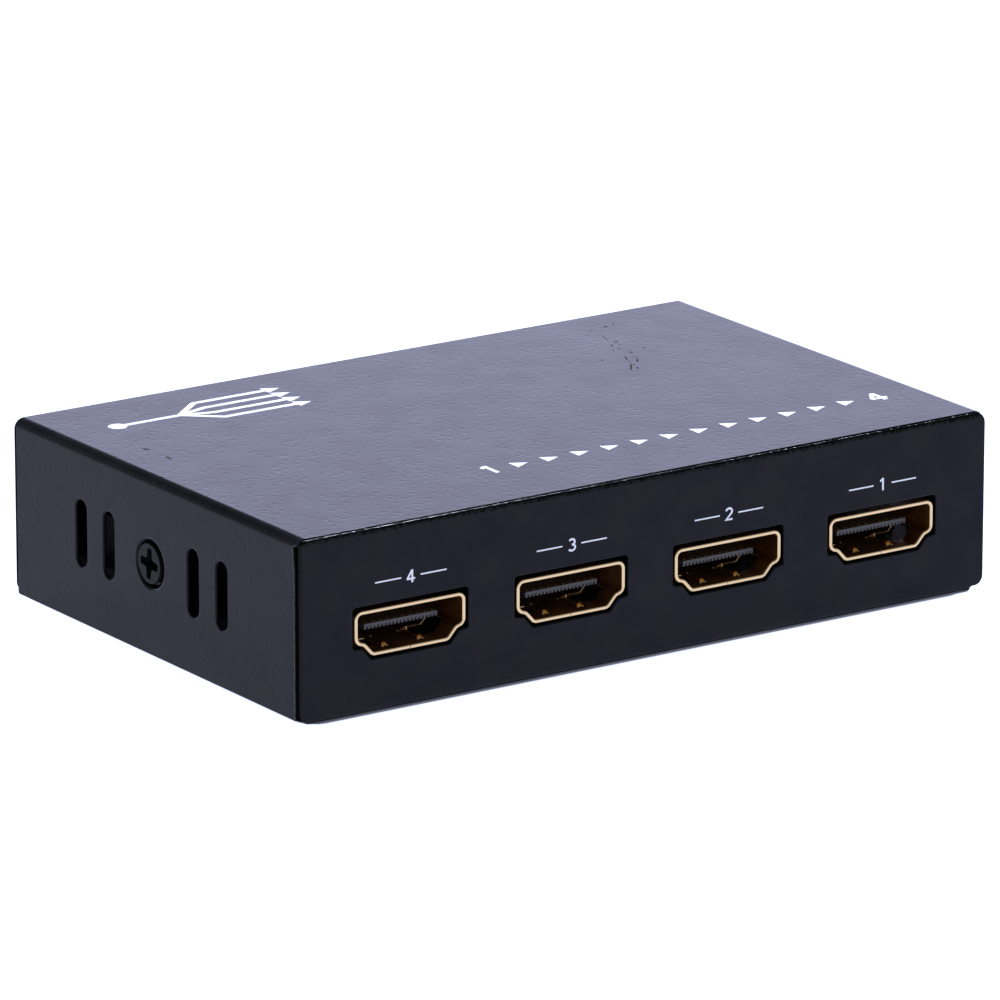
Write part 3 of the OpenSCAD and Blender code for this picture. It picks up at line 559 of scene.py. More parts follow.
# Cast epoxy of the lamp: water clear, glossy
LENS = ClearResin("cast_epoxy_lens", "#e8f2ff", 0.12, ior=1.53)


# Outlines


def pairs(loop: Sequence[Any]) -> list[tuple[Any, Any]]:
    """Give each item of a closed loop with the one after it."""
    return list(zip(loop, [*loop[1:], loop[0]]))


def turned(arm: Vector, angle: float) -> Vector:
    """Turn a flat vector by an angle in radians."""
    return Matrix.Rotation(angle, 2) @ arm


def rounded(corners: Sequence[Corner], steps: int = 6) -> list[Vector]:
    """Round each corner of a closed outline by its own radius.

    Args:
        corners: Place and radius of each corner, in order.
        steps: Pieces in each arc.

    Returns:
        The points of the outline.
    """
    points: list[Vector] = []
    for i, (x, y, radius) in enumerate(corners):
        here = Vector((x, y))
        if radius <= 0:
            points.append(here)
            continue
        back = (Vector(corners[i - 1][:2]) - here).normalized()
        ahead = (Vector(corners[(i + 1) % len(corners)][:2]) - here).normalized()
        half = back.angle(ahead) / 2
        centre = here + (back + ahead).normalized() * (radius / math.sin(half))
        start = here + back * (radius / math.tan(half)) - centre
        turn = -back.cross(ahead)
        sweep = math.copysign(math.pi - 2 * half, turn)
        points += [centre + turned(start, sweep * k / steps) for k in range(steps + 1)]
    return points


def grown(loop: Sequence[Vector], distance: float | Sequence[float]) -> list[Vector]:
    """Move a closed outline to the right of its travel, which is outwards when it runs counter-clockwise.

    Args:
        loop: Points of the outline.
        distance: How far it moves, all over or at each point.

    Returns:
        The moved points, one for each old one.
    """
    far = [distance] * len(loop) if isinstance(distance, float | int) else distance
    edges = [(b - a).normalized() for a, b in pairs(loop)]
    normals = [Vector((e.y, -e.x)) for e in edges]
    moved = []
    for i, point in enumerate(loop):
        both = normals[i - 1] + normals[i]
        moved.append(point + both * (far[i] / (1 + normals[i - 1].dot(normals[i]))))
    return moved


def hole(loop: Sequence[Vector]) -> list[Vector]:
    """Run an outline clockwise, so that its plate lies to the left of its travel."""
    area = sum(a.cross(b) for a, b in pairs(loop))
    return list(loop) if area < 0 else list(reversed(loop))


def circle(centre: Point, radius: float, steps: int = 48) -> list[Vector]:
    """Give a counter-clockwise circle."""
    arm = Vector((radius, 0))
    return [Vector(centre) + turned(arm, 2 * math.pi * k / steps) for k in range(steps)]


def slab(centre: Point, size: Point, radius: float, steps: int = 6) -> list[Vector]:
    """Give a counter-clockwise rectangle with rounded corners.

    Args:
        centre: Its middle.
        size: Its width and height.
        radius: Radius of its corners.
        steps: Pieces in each arc.

    Returns:
        The points of the outline.
    """
    (x, y), (w, h) = centre, (size[0] / 2, size[1] / 2)
    return rounded([(x - w, y - h, radius), (x + w, y - h, radius),
                    (x + w, y + h, radius), (x - w, y + h, radius)], steps)


def edge_profile(thickness: float, outer: float, inner: float | None = None, steps: int = 3,
                 hold: float = 0.15, drop: float | None = None) -> list[Point]:
    """Give the section of a plate's rounded edge, from the upper face to the lower one.

    Args:
        thickness: Thickness of the plate, below the upper face at height 0.
        outer: Radius of the upper edge.
        inner: Radius of the lower edge, if it differs.
        steps: Pieces in each arc.
        hold: Width of the rim that keeps each face flat up to its arc, as a share of the radius.
        drop: Depth of the upper edge's arc, if it isn't a quarter of a circle.

    Returns:
        How far each point lies inside the outline, and its height.
    """
    turns = [QUARTER * k / steps for k in range(steps + 1)]
    sides = []
    below = outer if inner is None else inner
    for radius, depth in ((outer, outer if drop is None else drop), (below, below)):
        arc = [(radius * (1 - math.sin(a)), depth * (math.cos(a) - 1)) for a in turns]
        sides.append([(radius * (1 + hold), 0.0), *arc])
    upper, lower = sides
    return upper + [(inset, -thickness - height) for inset, height in reversed(lower)]


def bent(distance: float, height: float, start: float, radius: float) -> Point:
    """Bend a point of a flat blank through a right angle.

    Args:
        distance: Distance along the blank from its middle.
        height: Height over the blank's outer face, below zero in the sheet.
        start: Distance at which the bend starts.
        radius: Outside radius of the bend.

    Returns:
        The reach from the middle, and the depth behind the outer face.
    """
    over = distance - start
    if over <= 0:
        return distance, -height
    if over < radius * QUARTER:
        turn = over / radius
        return start + (radius + height) * math.sin(turn), radius - (radius + height) * math.cos(turn)
    return start + radius + height, radius + over - radius * QUARTER


def node_box(node: str) -> tuple[Vector, Vector]:
    """Give a CAD node's lowest and highest corners in millimetres."""
    low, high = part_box(node)
    return Vector(low) / MM, Vector(high) / MM


def node_middle(node: str) -> list[float]:
    """Give the middle of a CAD node's box in millimetres."""
    return [(low + high) / 2 for low, high in zip(*node_box(node))]


# Meshes


@dataclass
class Edge:
    """One edge of a plate: its outline, the section along it, how worn it is, and how round at each point.

    The plate lies to the left of the outline's travel. Wear and shade is 0 for a clean edge, 1 for one where the
    finish is beaded and painted a deeper black as painted shade, and up to 2 for a cut one where it is thin as
    well. From the wall's place in the section on, the edge has the piece's second finish and takes no wear or shade.
    """

    loop: Sequence[Vector]
    profile: Sequence[Point]
    wear_and_shade: float = 1.0
    wall: int | None = None
    ease: Callable[[Vector], float] = lambda point: 1.0


class Draft:
    """A mesh in the making, in millimetres, until it becomes a piece of the scene."""

    def __init__(self, mesh: bmesh.types.BMesh | None = None) -> None:
        """Start a draft.

        Args:
            mesh: Mesh to start from a copy of, if the draft isn't to be empty.
        """
        self.mesh = mesh.copy() if mesh else bmesh.new()
        layers = self.mesh.verts.layers.float
        self.edge = layers.get("edge") or layers.new("edge")

    def skin(self, rings: Sequence[Ring], finish: int = 0) -> None:
        """Join each closed ring of points to the next one.

        Args:
            rings: Rings of as many points each, or of one point at a tip.
            finish: Number of the finish of the new faces.
        """
        for low, high in zip(rings, rings[1:]):
            count = max(len(low), len(high))
            for i in range(count):
                j = (i + 1) % count
                face = dict.fromkeys((low[i % len(low)], low[j % len(low)],
                                      high[j % len(high)], high[i % len(high)]))
                self.mesh.faces.new(tuple(face)).material_index = finish

    def loft(self, sections: Iterable[tuple[Sequence[Vector], float]]) -> list[Ring]:
        """Join flat outlines of as many points each.

        Args:
            sections: Outline and height of each section.

        Returns:
            One ring of points for each section.
        """
        rings = [[self.mesh.verts.new((p.x, p.y, height)) for p in loop] for loop, height in sections]
        self.skin(rings)
        return rings

    def border(self, edge: Edge) -> list[Ring]:
        """Run a section along a closed outline.

        Args:
            edge: The outline and its section.

        Returns:
            One ring of points for each point of the section.
        """
        shares = [edge.ease(point) for point in edge.loop]
        foot = edge.profile[-1][1]
        rings = []
        for inset, height in edge.profile:
            face = foot if height < foot / 2 else 0.0
            spots = grown(edge.loop, [-inset * share for share in shares])
            rings.append([self.mesh.verts.new((p.x, p.y, face + (height - face) * share))
                          for p, share in zip(spots, shares)])
        wall = len(rings) - 1 if edge.wall is None else edge.wall
        self.skin(rings[:wall + 1])
        self.skin(rings[wall:], 1)
        for ring in rings[1:wall]:
            for vert, share in zip(ring, shares):
                vert[self.edge] = edge.wear_and_shade * share
        return rings

    def fill(self, rings: Iterable[Ring], up: bool) -> None:
        """Fill a flat face between an outer ring and its holes.

        Args:
            rings: The outer ring and the holes.
            up: Whether the face looks up.
        """
        edges = [self.mesh.edges.get(pair) for ring in rings for pair in pairs(ring)]
        bmesh.ops.triangle_fill(self.mesh, use_beauty=True, edges=edges, normal=(0, 0, 1 if up else -1))

    def plate(self, edges: Sequence[Edge]) -> None:
        """Make a flat plate with shaped edges.

        Args:
            edges: Its outer edge and those of its holes.
        """
        borders = [self.border(edge) for edge in edges]
        self.fill([rings[0] for rings in borders], True)
        self.fill([rings[-1] for rings in borders], False)

    def score(self, axis: int, places: Iterable[float]) -> None:
        """Cut the mesh along planes across one axis, so that it can bend there.

        Args:
            axis: Number of the axis.
            places: Where the planes cross it.
        """
        normal = Vector((0, 0, 0))
        normal[axis] = 1
        snap = 1e-5
        for place in places:
            parts = [*self.mesh.verts, *self.mesh.edges, *self.mesh.faces]
            bmesh.ops.bisect_plane(self.mesh, geom=parts, dist=snap, plane_co=normal * place, plane_no=normal)

    def shape(self, form: Callable[[Vector], Vector]) -> None:
        """Move every point to where a function puts it."""
        for vert in self.mesh.verts:
            vert.co = form(vert.co)

    def place(self, matrix: Matrix) -> None:
        """Move the whole mesh by a matrix."""
        bmesh.ops.transform(self.mesh, matrix=matrix, verts=self.mesh.verts)

    def block(self, low: Sequence[float], high: Sequence[float], radius: float) -> None:
        """Add a block with rounded edges.

        Args:
            low: Its lowest corner.
            high: Its highest corner.
            radius: Radius of its edges.
        """
        low, high = Vector(low), Vector(high)
        size = Matrix.Diagonal((*(high - low), 1))
        made = bmesh.ops.create_cube(self.mesh, size=1, matrix=Matrix.Translation((low + high) / 2) @ size)
        edges = list({edge for vert in made["verts"] for edge in vert.link_edges})
        bmesh.ops.bevel(self.mesh, geom=edges, offset=radius, segments=2, profile=0.5, affect="EDGES")

    def lathe(self, profile: Sequence[Point], matrix: Matrix, steps: int = 32) -> None:
        """Turn a section about an axis.

        Args:
            profile: Radius and height of each point, with radius 0 at both ends.
            matrix: Places the turned form, whose axis is Z.
            steps: Pieces round the axis.
        """
        rings = []
        for radius, height in profile:
            points = circle((0, 0), radius, steps) if radius > 0 else [Vector((0, 0))]
            rings.append([self.mesh.verts.new(matrix @ Vector((p.x, p.y, height))) for p in points])
        self.skin(rings)

    def piece(self, name: str, finishes: Sequence[Finish], body: Body,
              replaced: Sequence[str] = (), crease: float = 42) -> bpy.types.Object:
        """Turn the draft into a piece of the scene.

        Args:
            name: Name of the piece.
            finishes: Its finishes, in the order of its faces' material numbers.
            body: Body that it rides on.
            replaced: CAD nodes that it stands for.
            crease: Degrees between two faces from which their edge is sharp.

        Returns:
            The new object.
        """
        bmesh.ops.recalc_face_normals(self.mesh, faces=self.mesh.faces)
        self.place(Matrix.Scale(MM, 4))
        mesh = bpy.data.meshes.new(name)
        self.mesh.to_mesh(mesh)
        self.mesh.free()
        mesh.shade_smooth()
        mesh.set_sharp_from_angle(angle=math.radians(crease))
        for finish in finishes:
            mesh.materials.append(finish.material())
        made = add_object(name, mesh)
        made.modifiers.new("even_shading", "WEIGHTED_NORMAL").keep_sharp = True
        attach(made, body.value)
        if replaced:
            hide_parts(*replaced)
        LOG.info("%s: %d faces, %s", name, len(mesh.polygons), finishes[0].name)
        return made


# Steel case


@dataclass
class TopCover:
    """The folded cover: top and both sides, with vent slots and a pressed dimple round each screw."""

    sheet: float = 0.46
    bend_radius: float = 1.17
    bend_steps: int = 10
    edge_radius: float = 0.3
    inner_edge: float = 0.05
    rim_steps: int = 4
    rim_wall: int = 3
    rim_wear_and_shade: float = 2.0
    edge_ease: float = 0.5
    plain_ease: float = 0.12
    corner_radius: float = 0.3
    front_reach: float = 0.66
    rear_reach: float = 0.65
    side_setback: float = 0.39
    notch_rise: float = 0.3
    notch_height: float = 3.0
    notch_depth: float = 0.29
    notch_lead: float = 0.12
    notch_radius: float = 0.22
    notch_sweep: float = 2.0
    top_corner: float = 0.08
    corner_room: float = 0.05
    slot_size: Point = (8.0, 2.34)
    slot_radius: float = 1.16
    slot_arc: int = 10
    slot_steps: tuple[float, ...] = (-15.3, -9.3, 8.7, 14.7)
    slot_edge: float = 0.2
    slot_wall: int = 4
    screw_y: float = 1.0
    screw_z: float = 11.6
    dimple_depth: float = 0.75
    dimple_shift: float = -0.22
    dimple_seat: float = 2.58
    dimple_mouth: float = 2.95
    dimple_lip: float = 0.4
    dimple_steps: int = 5
    dimple_spread: float = 0.25
    screw_hole: float = 1.8
    half: float = field(init=False)
    top: float = field(init=False)
    foot: float = field(init=False)
    front: float = field(init=False)
    rear: float = field(init=False)

    def __post_init__(self) -> None:
        """Take the overall sizes from the frame."""
        low, high = node_box("top_cover")
        self.half, self.top = high.x - PRINT_ROOM, high.z - PRINT_ROOM
        self.foot, self.front, self.rear = low.z, low.y - self.front_reach, high.y + self.rear_reach

    @property
    def bend_start(self) -> float:
        """Distance from the middle of the blank at which a bend starts."""
        return self.half - self.bend_radius

    @property
    def notch_start(self) -> float:
        """Distance from the middle of the blank at which the relief notches start."""
        return self.along(self.top - self.bend_radius) - self.notch_rise

    def along(self, height: float) -> float:
        """Give the distance along the blank of a height on its sides."""
        return self.bend_start + self.bend_radius * QUARTER + self.top - self.bend_radius - height

    def outline(self) -> list[Vector]:
        """Give the blank's outline, with its relief notches at the front.

        Returns:
            The points of the outline, counter-clockwise.
        """
        edge, near, front = self.along(self.foot), self.notch_start, self.front + self.side_setback
        right = [(near, self.front, self.top_corner),
                 (near + self.notch_lead, front + self.notch_depth, self.notch_radius),
                 (near + self.notch_height, front, self.notch_sweep), (edge, front, self.corner_radius),
                 (edge, self.rear, self.corner_radius)]
        return rounded([*right, *[(-x, y, radius) for x, y, radius in reversed(right)]])

    def ease(self, point: Vector) -> float:
        """Give the share of the edge radius: all on the front of the sides, little on the top's ends.

        Args:
            point: Point of the blank's outline.

        Returns:
            The share at that point.
        """
        if point.y > self.rear - self.corner_radius:
            return self.plain_ease
        if point.y < self.front + self.side_setback + self.notch_depth:
            return 1.0 if abs(point.x) > self.notch_start + self.corner_room else self.plain_ease
        return self.edge_ease

    def dimple_profile(self) -> list[Point]:
        """Give the section of the dimple, from the outer face to the inner one.

        Returns:
            How far each point lies outside the screw's hole, and its height.
        """
        lip, depth = self.dimple_lip, self.dimple_depth
        slope = math.atan2(depth, self.dimple_mouth - self.dimple_seat)
        turns = [slope * k / self.dimple_steps for k in range(self.dimple_steps + 1)]
        spare = lip * math.tan(slope / 2)
        mouth, seat = self.dimple_mouth + spare - self.screw_hole, self.dimple_seat - spare - self.screw_hole
        wall = [(mouth - lip * math.sin(a), lip * (math.cos(a) - 1)) for a in turns]
        wall += [(seat + lip * math.sin(a), lip * (1 - math.cos(a)) - depth) for a in reversed(turns)]
        rim = [(inset, height - self.dimple_depth) for inset, height in edge_profile(self.sheet, self.slot_edge)]
        inner = [(inset + self.dimple_spread, height - self.sheet) for inset, height in reversed(wall)]
        return wall + rim + inner

    def folded(self, point: Vector) -> Vector:
        """Put a point of the flat blank where folding takes it."""
        reach, depth = bent(abs(point.x), point.z, self.bend_start, self.bend_radius)
        return Vector((math.copysign(reach, point.x), point.y, self.top - depth))

    def build(self) -> None:
        """Make the cover."""
        draft = Draft()
        cut = edge_profile(self.sheet, self.slot_edge)
        rim = edge_profile(self.sheet, self.edge_radius, self.inner_edge, self.rim_steps)
        # The walls of the blank's outline and of its slots take the painted-shade black
        edges = [Edge(self.outline(), rim, self.rim_wear_and_shade, self.rim_wall, self.ease)]
        middles = [side.value * self.along(self.screw_z) for side in Side]
        for middle in middles:
            for step in self.slot_steps:
                vent = slab((middle, self.screw_y + step), self.slot_size, self.slot_radius, self.slot_arc)
                edges.append(Edge(hole(vent), cut, 0, self.slot_wall))
        for middle in middles:
            centre = (middle, self.screw_y + self.dimple_shift)
            edges.append(Edge(hole(circle(centre, self.screw_hole)), self.dimple_profile(), 0))
        draft.plate(edges)
        arc = self.bend_radius * QUARTER
        for side in Side:
            draft.score(0, [side.value * (self.bend_start + arc * k / self.bend_steps)
                            for k in range(self.bend_steps + 1)])
        draft.shape(self.folded)
        draft.piece("cover_sheet", [COVER_COAT, SHADE_BLACK], Body.CASE, ["top_cover"])


@dataclass(frozen=True)
class MouthShape:
    """Outline of a socket's mouth, seen from the front, with the board at height 0."""

    width: float = 14.0
    height: float = 4.55
    floor_width: float = 9.9
    shoulder_width: float = 12.2
    shoulder_height: float = 1.3
    side_foot: float = 1.45
    floor_radius: float = 0.6
    shoulder_radius: float = 1.2
    side_radius: float = 0.6
    top_radius: float = 0.55
    shell: float = 0.45

    def outline(self, distance: float, lift: float = 0.0, radii: Sequence[float] = ()) -> list[Vector]:
        """Give the outline, counter-clockwise from the middle of the floor.

        Args:
            distance: How far it is grown outwards.
            lift: Further growth of its top edge.
            radii: Radius of the floor's, the shoulder's, the side's and the top's corners, if not its own.

        Returns:
            As many points at every distance.
        """
        floor, shoulder, side = self.floor_width / 2, self.shoulder_width / 2, self.width / 2
        low, top = self.shell, self.shell + self.height
        shoulder_z, foot_z = low + self.shoulder_height, low + self.side_foot
        right = [(floor, low), (shoulder, shoulder_z), (side, foot_z), (side, top)]
        raw = [Vector(p) for p in [(0.0, low), *right, *[(-x, z) for x, z in reversed(right)]]]
        radii = radii or [self.floor_radius + distance, self.shoulder_radius - distance,
                          self.side_radius + distance, self.top_radius + distance]
        corners = []
        for point, radius in zip(grown(raw, distance), [0.0, *radii, *reversed(radii)]):
            corners.append((point.x, point.y + (lift if point.y > self.height else 0.0), radius))
        return rounded(corners)


MOUTH = MouthShape()
OUTPUTS = tuple(f"output_{n}" for n in (1, 2, 3, 4))
SOCKETS = (*OUTPUTS, "input")


@dataclass
class BottomChassis:
    """The folded lower half: base, front and rear panels with their cut-outs, and two tabs for the screws."""

    sheet: float = 0.7
    bend_radius: float = 1.2
    bend_steps: int = 8
    bend_mark_z: float = 0.72
    bend_mark: Point = (0.12, 0.2)
    mark_reach: float = 0.001
    cover_bend: float = 1.2
    left_corner: float = 0.62
    left_ear: Point = (0.32, 1.65)
    left_relief: Point = (1.2, 2.5)
    ear_radius: float = 1.2
    ear_lift: float = 0.9
    base_half: float = 45.75
    panel_drop: float = 0.12
    edge_radius: float = 0.45
    edge_drop: float = 0.25
    edge_fade: float = 0.58
    rebate: Point = (0.55, 0.3)
    lap_edge: float = 0.03
    lap_steps: int = 6
    foot_edge: float = 0.04
    lap_points: int = 4
    ease_start: float = 0.5
    front_ease: float = 0.35
    rear_ease: float = 0.9
    plain_ease: float = 0.12
    cut_edge: float = 0.14
    cut_wall: int = 4
    inner_radius: float = 0.26
    tab_width: float = 13.0
    tab_top: float = 15.8
    tab_radius: float = 2.0
    tab_relief: float = 0.6
    tab_y: float = 1.0
    tab_room: float = 0.01
    screw_z: float = 11.6
    board_screw_head: float = 2.3
    tapped_hole: float = 1.55
    cut_gap: float = 0.33
    cut_top_gap: float = 0.2
    cut_radii: tuple[float, ...] = (0.25, 0.25, 0.25, 0.45)
    jack_hole: float = 4.0
    lamp_hole: float = 1.6
    shank_hole: float = 1.92
    half_width: float = field(init=False)
    half_depth: float = field(init=False)
    top: float = field(init=False)

    def __post_init__(self) -> None:
        """Take the overall sizes from the frame."""
        high = node_box("bottom_chassis")[1]
        self.half_width, self.half_depth, self.top = (c - PRINT_ROOM for c in high)
        self.top -= self.panel_drop

    @property
    def bend_arc(self) -> float:
        """Length of a bend along the blank."""
        return self.bend_radius * QUARTER

    @property
    def panel_start(self) -> float:
        """Distance from the middle of the blank at which a panel's bend starts."""
        return self.half_depth - self.bend_radius

    @property
    def tab_start(self) -> float:
        """Distance from the middle of the blank at which a tab's bend starts."""
        return self.base_half - self.bend_radius

    def up_panel(self, height: float) -> float:
        """Give the distance along the blank of a height on a panel."""
        return self.panel_start + self.bend_arc + height - self.bend_radius

    def up_tab(self, height: float) -> float:
        """Give the distance along the blank of a height on a tab."""
        return self.tab_start + self.bend_arc + height - self.bend_radius

    def outline(self) -> list[Vector]:
        """Give the blank's outline: both panels with their ears, the base and both tabs.

        Returns:
            The points of the outline, counter-clockwise.
        """
        wide, base, tip, r = self.half_width, self.base_half, self.up_tab(self.tab_top), self.inner_radius
        foot, top = self.up_panel(self.ear_lift), self.up_panel(self.top)
        cut = self.tab_start - self.tab_relief
        low, high = self.tab_y - self.tab_width / 2, self.tab_y + self.tab_width / 2
        right = [(wide, -top, self.cover_bend), (wide, -foot, self.ear_radius), (base, -foot, r),
                 (base, low - self.tab_relief, r), (cut, low - self.tab_relief, r), (cut, low, r),
                 (tip, low, self.tab_radius), (tip, high, self.tab_radius), (cut, high, r),
                 (cut, high + self.tab_relief, r), (base, high + self.tab_relief, r), (base, foot, r),
                 (wide, foot, self.ear_radius), (wide, top, self.cover_bend)]
        left = [(-x, y, radius) for x, y, radius in reversed(right)]
        lift, radius = self.left_ear
        foot = self.up_panel(lift)
        near, end = self.left_relief[0] - base, self.left_relief[1] - self.panel_start
        left[-3:] = [(-base, end, r), (near, end, r), (near, -foot, r), (-wide, -foot, radius),
                     (-wide, -top, self.left_corner)]
        return rounded([*right, *left])

    def edge_section(self) -> list[Point]:
        """Give the section of the panels' edge, which is stepped where it laps over the cover's end.

        Returns:
            How far each point lies inside the outline, and its height.
        """
        step, depth = self.rebate
        lap = edge_profile(depth, self.edge_radius, self.lap_edge, self.lap_steps,
                           self.edge_fade / self.edge_radius - 1, self.edge_drop)
        return [*lap[:-1], (step, -depth), (step, -self.sheet), (step + self.foot_edge, -self.sheet)]

    def ease(self, point: Vector) -> float:
        """Give the share of the edge's size: all on top of the panels, little outside them.

        Args:
            point: Point of the blank's outline.

        Returns:
            The share at that point.
        """
        if abs(point.y) < self.panel_start + self.ease_start:
            return self.plain_ease
        over = (abs(point.y) - self.up_panel(self.top) + self.cover_bend) / self.cover_bend
        least = self.front_ease if point.y < 0 else self.rear_ease
        return least + (1 - least) * min(max(over, 0.0), 1.0)

    def panel_holes(self) -> list[list[Vector]]:
        """Give the holes in both panels, on the blank.

        Returns:
            One outline for each hole.
        """
        holes = []
        board = node_box("circuit_board")[1].z
        for name in SOCKETS:
            x, y, _ = node_middle(f"{name}_shell")
            front = -1 if y < 0 else 1
            cut = MOUTH.outline(MOUTH.shell + self.cut_gap, self.cut_top_gap, self.cut_radii)
            holes.append([Vector((x + p.x, front * self.up_panel(board + p.y))) for p in cut])
        height = self.up_panel(node_middle("power_lamp")[2])
        for node, radius in (("power_jack_pin", self.jack_hole), ("power_lamp", self.lamp_hole)):
            holes.append(circle((node_middle(node)[0], height), radius))
        return holes

    def base_holes(self) -> list[list[Vector]]:
        """Give the holes for the standoffs and the tapped holes in the tabs, on the blank.

        Returns:
            One outline for each hole.
        """
        low, high = node_box("board_screws")
        head = self.board_screw_head
        places = [(x, y) for x in (low.x + head, high.x - head) for y in (low.y + head, high.y - head)]
        holes = [circle(place, self.shank_hole) for place in places]
        for side in Side:
            holes.append(circle((side.value * self.up_tab(self.screw_z), self.tab_y), self.tapped_hole))
        return holes

    def folded(self, point: Vector) -> Vector:
        """Put a point of the flat blank where folding takes it.

        Args:
            point: Point of the blank.

        Returns:
            Its place on the folded chassis.
        """
        beside = abs(point.y - self.tab_y) - self.tab_width / 2
        if beside < self.tab_room and abs(point.x) > self.tab_start:
            reach, depth = bent(abs(point.x), point.z, self.tab_start, self.bend_radius)
            return Vector((math.copysign(reach, point.x), point.y, depth))
        reach, depth = bent(abs(point.y), point.z, self.panel_start, self.bend_radius)
        return Vector((point.x, math.copysign(reach, point.y), depth))

    def build(self) -> None:
        """Make the chassis."""
        draft = Draft()
        cut = edge_profile(self.sheet, self.cut_edge)
        holes = [hole(loop) for loop in (*self.panel_holes(), *self.base_holes())]
        section = self.edge_section()
        # The steps of the panels' lapped edge and the walls of their holes take the painted-shade black
        draft.plate([Edge(self.outline(), section, wall=len(section) - self.lap_points, ease=self.ease),
                     *[Edge(loop, cut, 0, self.cut_wall) for loop in holes]])
        steps = [k / self.bend_steps for k in range(self.bend_steps + 1)]
        half, depth = self.bend_mark
        mark = self.panel_start + self.bend_radius * math.acos(1 - self.bend_mark_z / self.bend_radius)
        for side in Side:
            draft.score(1, [side.value * (self.panel_start + self.bend_arc * s) for s in steps])
            draft.score(0, [side.value * (self.tab_start + self.bend_arc * s) for s in steps])
            draft.score(1, [side.value * (mark + step) for step in (-half, 0, half)])
        # The bend mark is pressed in and flagged as an edge, so its line also takes the edge's painted shade
        for vert in draft.mesh.verts:
            if abs(abs(vert.co.y) - mark) < self.mark_reach and vert.co.z > -self.mark_reach:
                vert.co.z -= depth
                vert[draft.edge] = 1.0
        draft.shape(self.folded)
        draft.piece("chassis_sheet", [POWDER_COAT, SHADE_BLACK], Body.CASE, ["bottom_chassis"])


@dataclass
class CoverScrew:
    """One countersunk cover screw with its cross recess, on the side that it is driven from."""

    side: Side
    head_radius: float = 2.36
    head_height: float = 0.6
    head_rise: float = 0.09
    rim_radius: float = 0.08
    shaft_radius: float = 1.5
    length: float = 5.0
    tip: float = 0.5
    thread_pitch: float = 0.5
    thread_depth: float = 0.12
    thread_land: float = 0.2
    arm_reach: float = 1.8
    arm_root: float = 1.0
    arm_tip: float = 0.82
    root_radius: float = 0.45
    tip_radius: float = 0.2
    recess_depth: float = 1.5
    recess_share: float = 0.6
    recess_turn: float = -5.0
    recess_lip: float = 0.05
    crease: float = 35

    def cross(self, share: float) -> list[Vector]:
        """Give the outline of the cross recess.

        Args:
            share: Size of the outline, as a share of the mouth of the recess.

        Returns:
            As many points at every size.
        """
        reach, root, tip = (c * share for c in (self.arm_reach, self.arm_root / 2, self.arm_tip / 2))
        corners = []
        for quarter in range(4):
            for x, y, radius in ((root, root, self.root_radius), (reach, tip, self.tip_radius),
                                 (reach, -tip, self.tip_radius)):
                place = turned(Vector((x, y)), math.radians(self.recess_turn) - QUARTER * quarter)
                corners.append((place.x, place.y, radius * share))
        return hole(rounded(corners, 4))

    def build(self) -> None:
        """Make the screw with its head's face at height 0 and its thread below, and drive it in."""
        draft = Draft()
        drop = self.head_radius - self.shaft_radius
        head = edge_profile(self.head_height, self.rim_radius, steps=4)[:-2]
        shaft = [(drop, -self.head_height)]
        turns = int((self.length - self.tip) / self.thread_pitch)
        for k in range(turns):
            crest = -self.head_height - self.thread_pitch * (k + 0.5)
            shaft += [(drop, crest + self.thread_pitch * self.thread_land), (drop + self.thread_depth, crest)]
        end = -self.head_height - self.length
        shaft += [(drop, end + self.tip), (drop + self.tip, end)]
        outer = draft.border(Edge(circle((0, 0), self.head_radius), [*head, *shaft], 0))
        lip = self.recess_lip
        recess = draft.loft([(grown(self.cross(1), -lip), 0.0), (self.cross(1), -lip),
                             (self.cross(self.recess_share), -self.recess_depth)])
        draft.fill([outer[0], recess[0]], True)
        draft.fill([outer[-1]], False)
        draft.fill([recess[-1]], True)
        # The recess walls take the painted-shade black
        walls = set(chain(*recess[1:]))
        for face in draft.mesh.faces:
            face.material_index = int(walls.issuperset(face.verts))
        side = self.side.name.lower()
        node = f"{side}_cover_screw"
        low, high = node_box(node)
        face, body = (high.x, Body.RIGHT_SCREW) if self.side is Side.RIGHT else (low.x, Body.LEFT_SCREW)
        _, y, z = node_middle(node)
        turn = Matrix.Rotation(self.side.value * QUARTER, 4, "Y")
        face += self.side.value * self.head_rise
        draft.place(Matrix.Translation((face, y, z)) @ turn)
        draft.piece(f"{side}_screw", [BLACK_OXIDE, SHADE_BLACK], body, [node], self.crease)


# Sockets


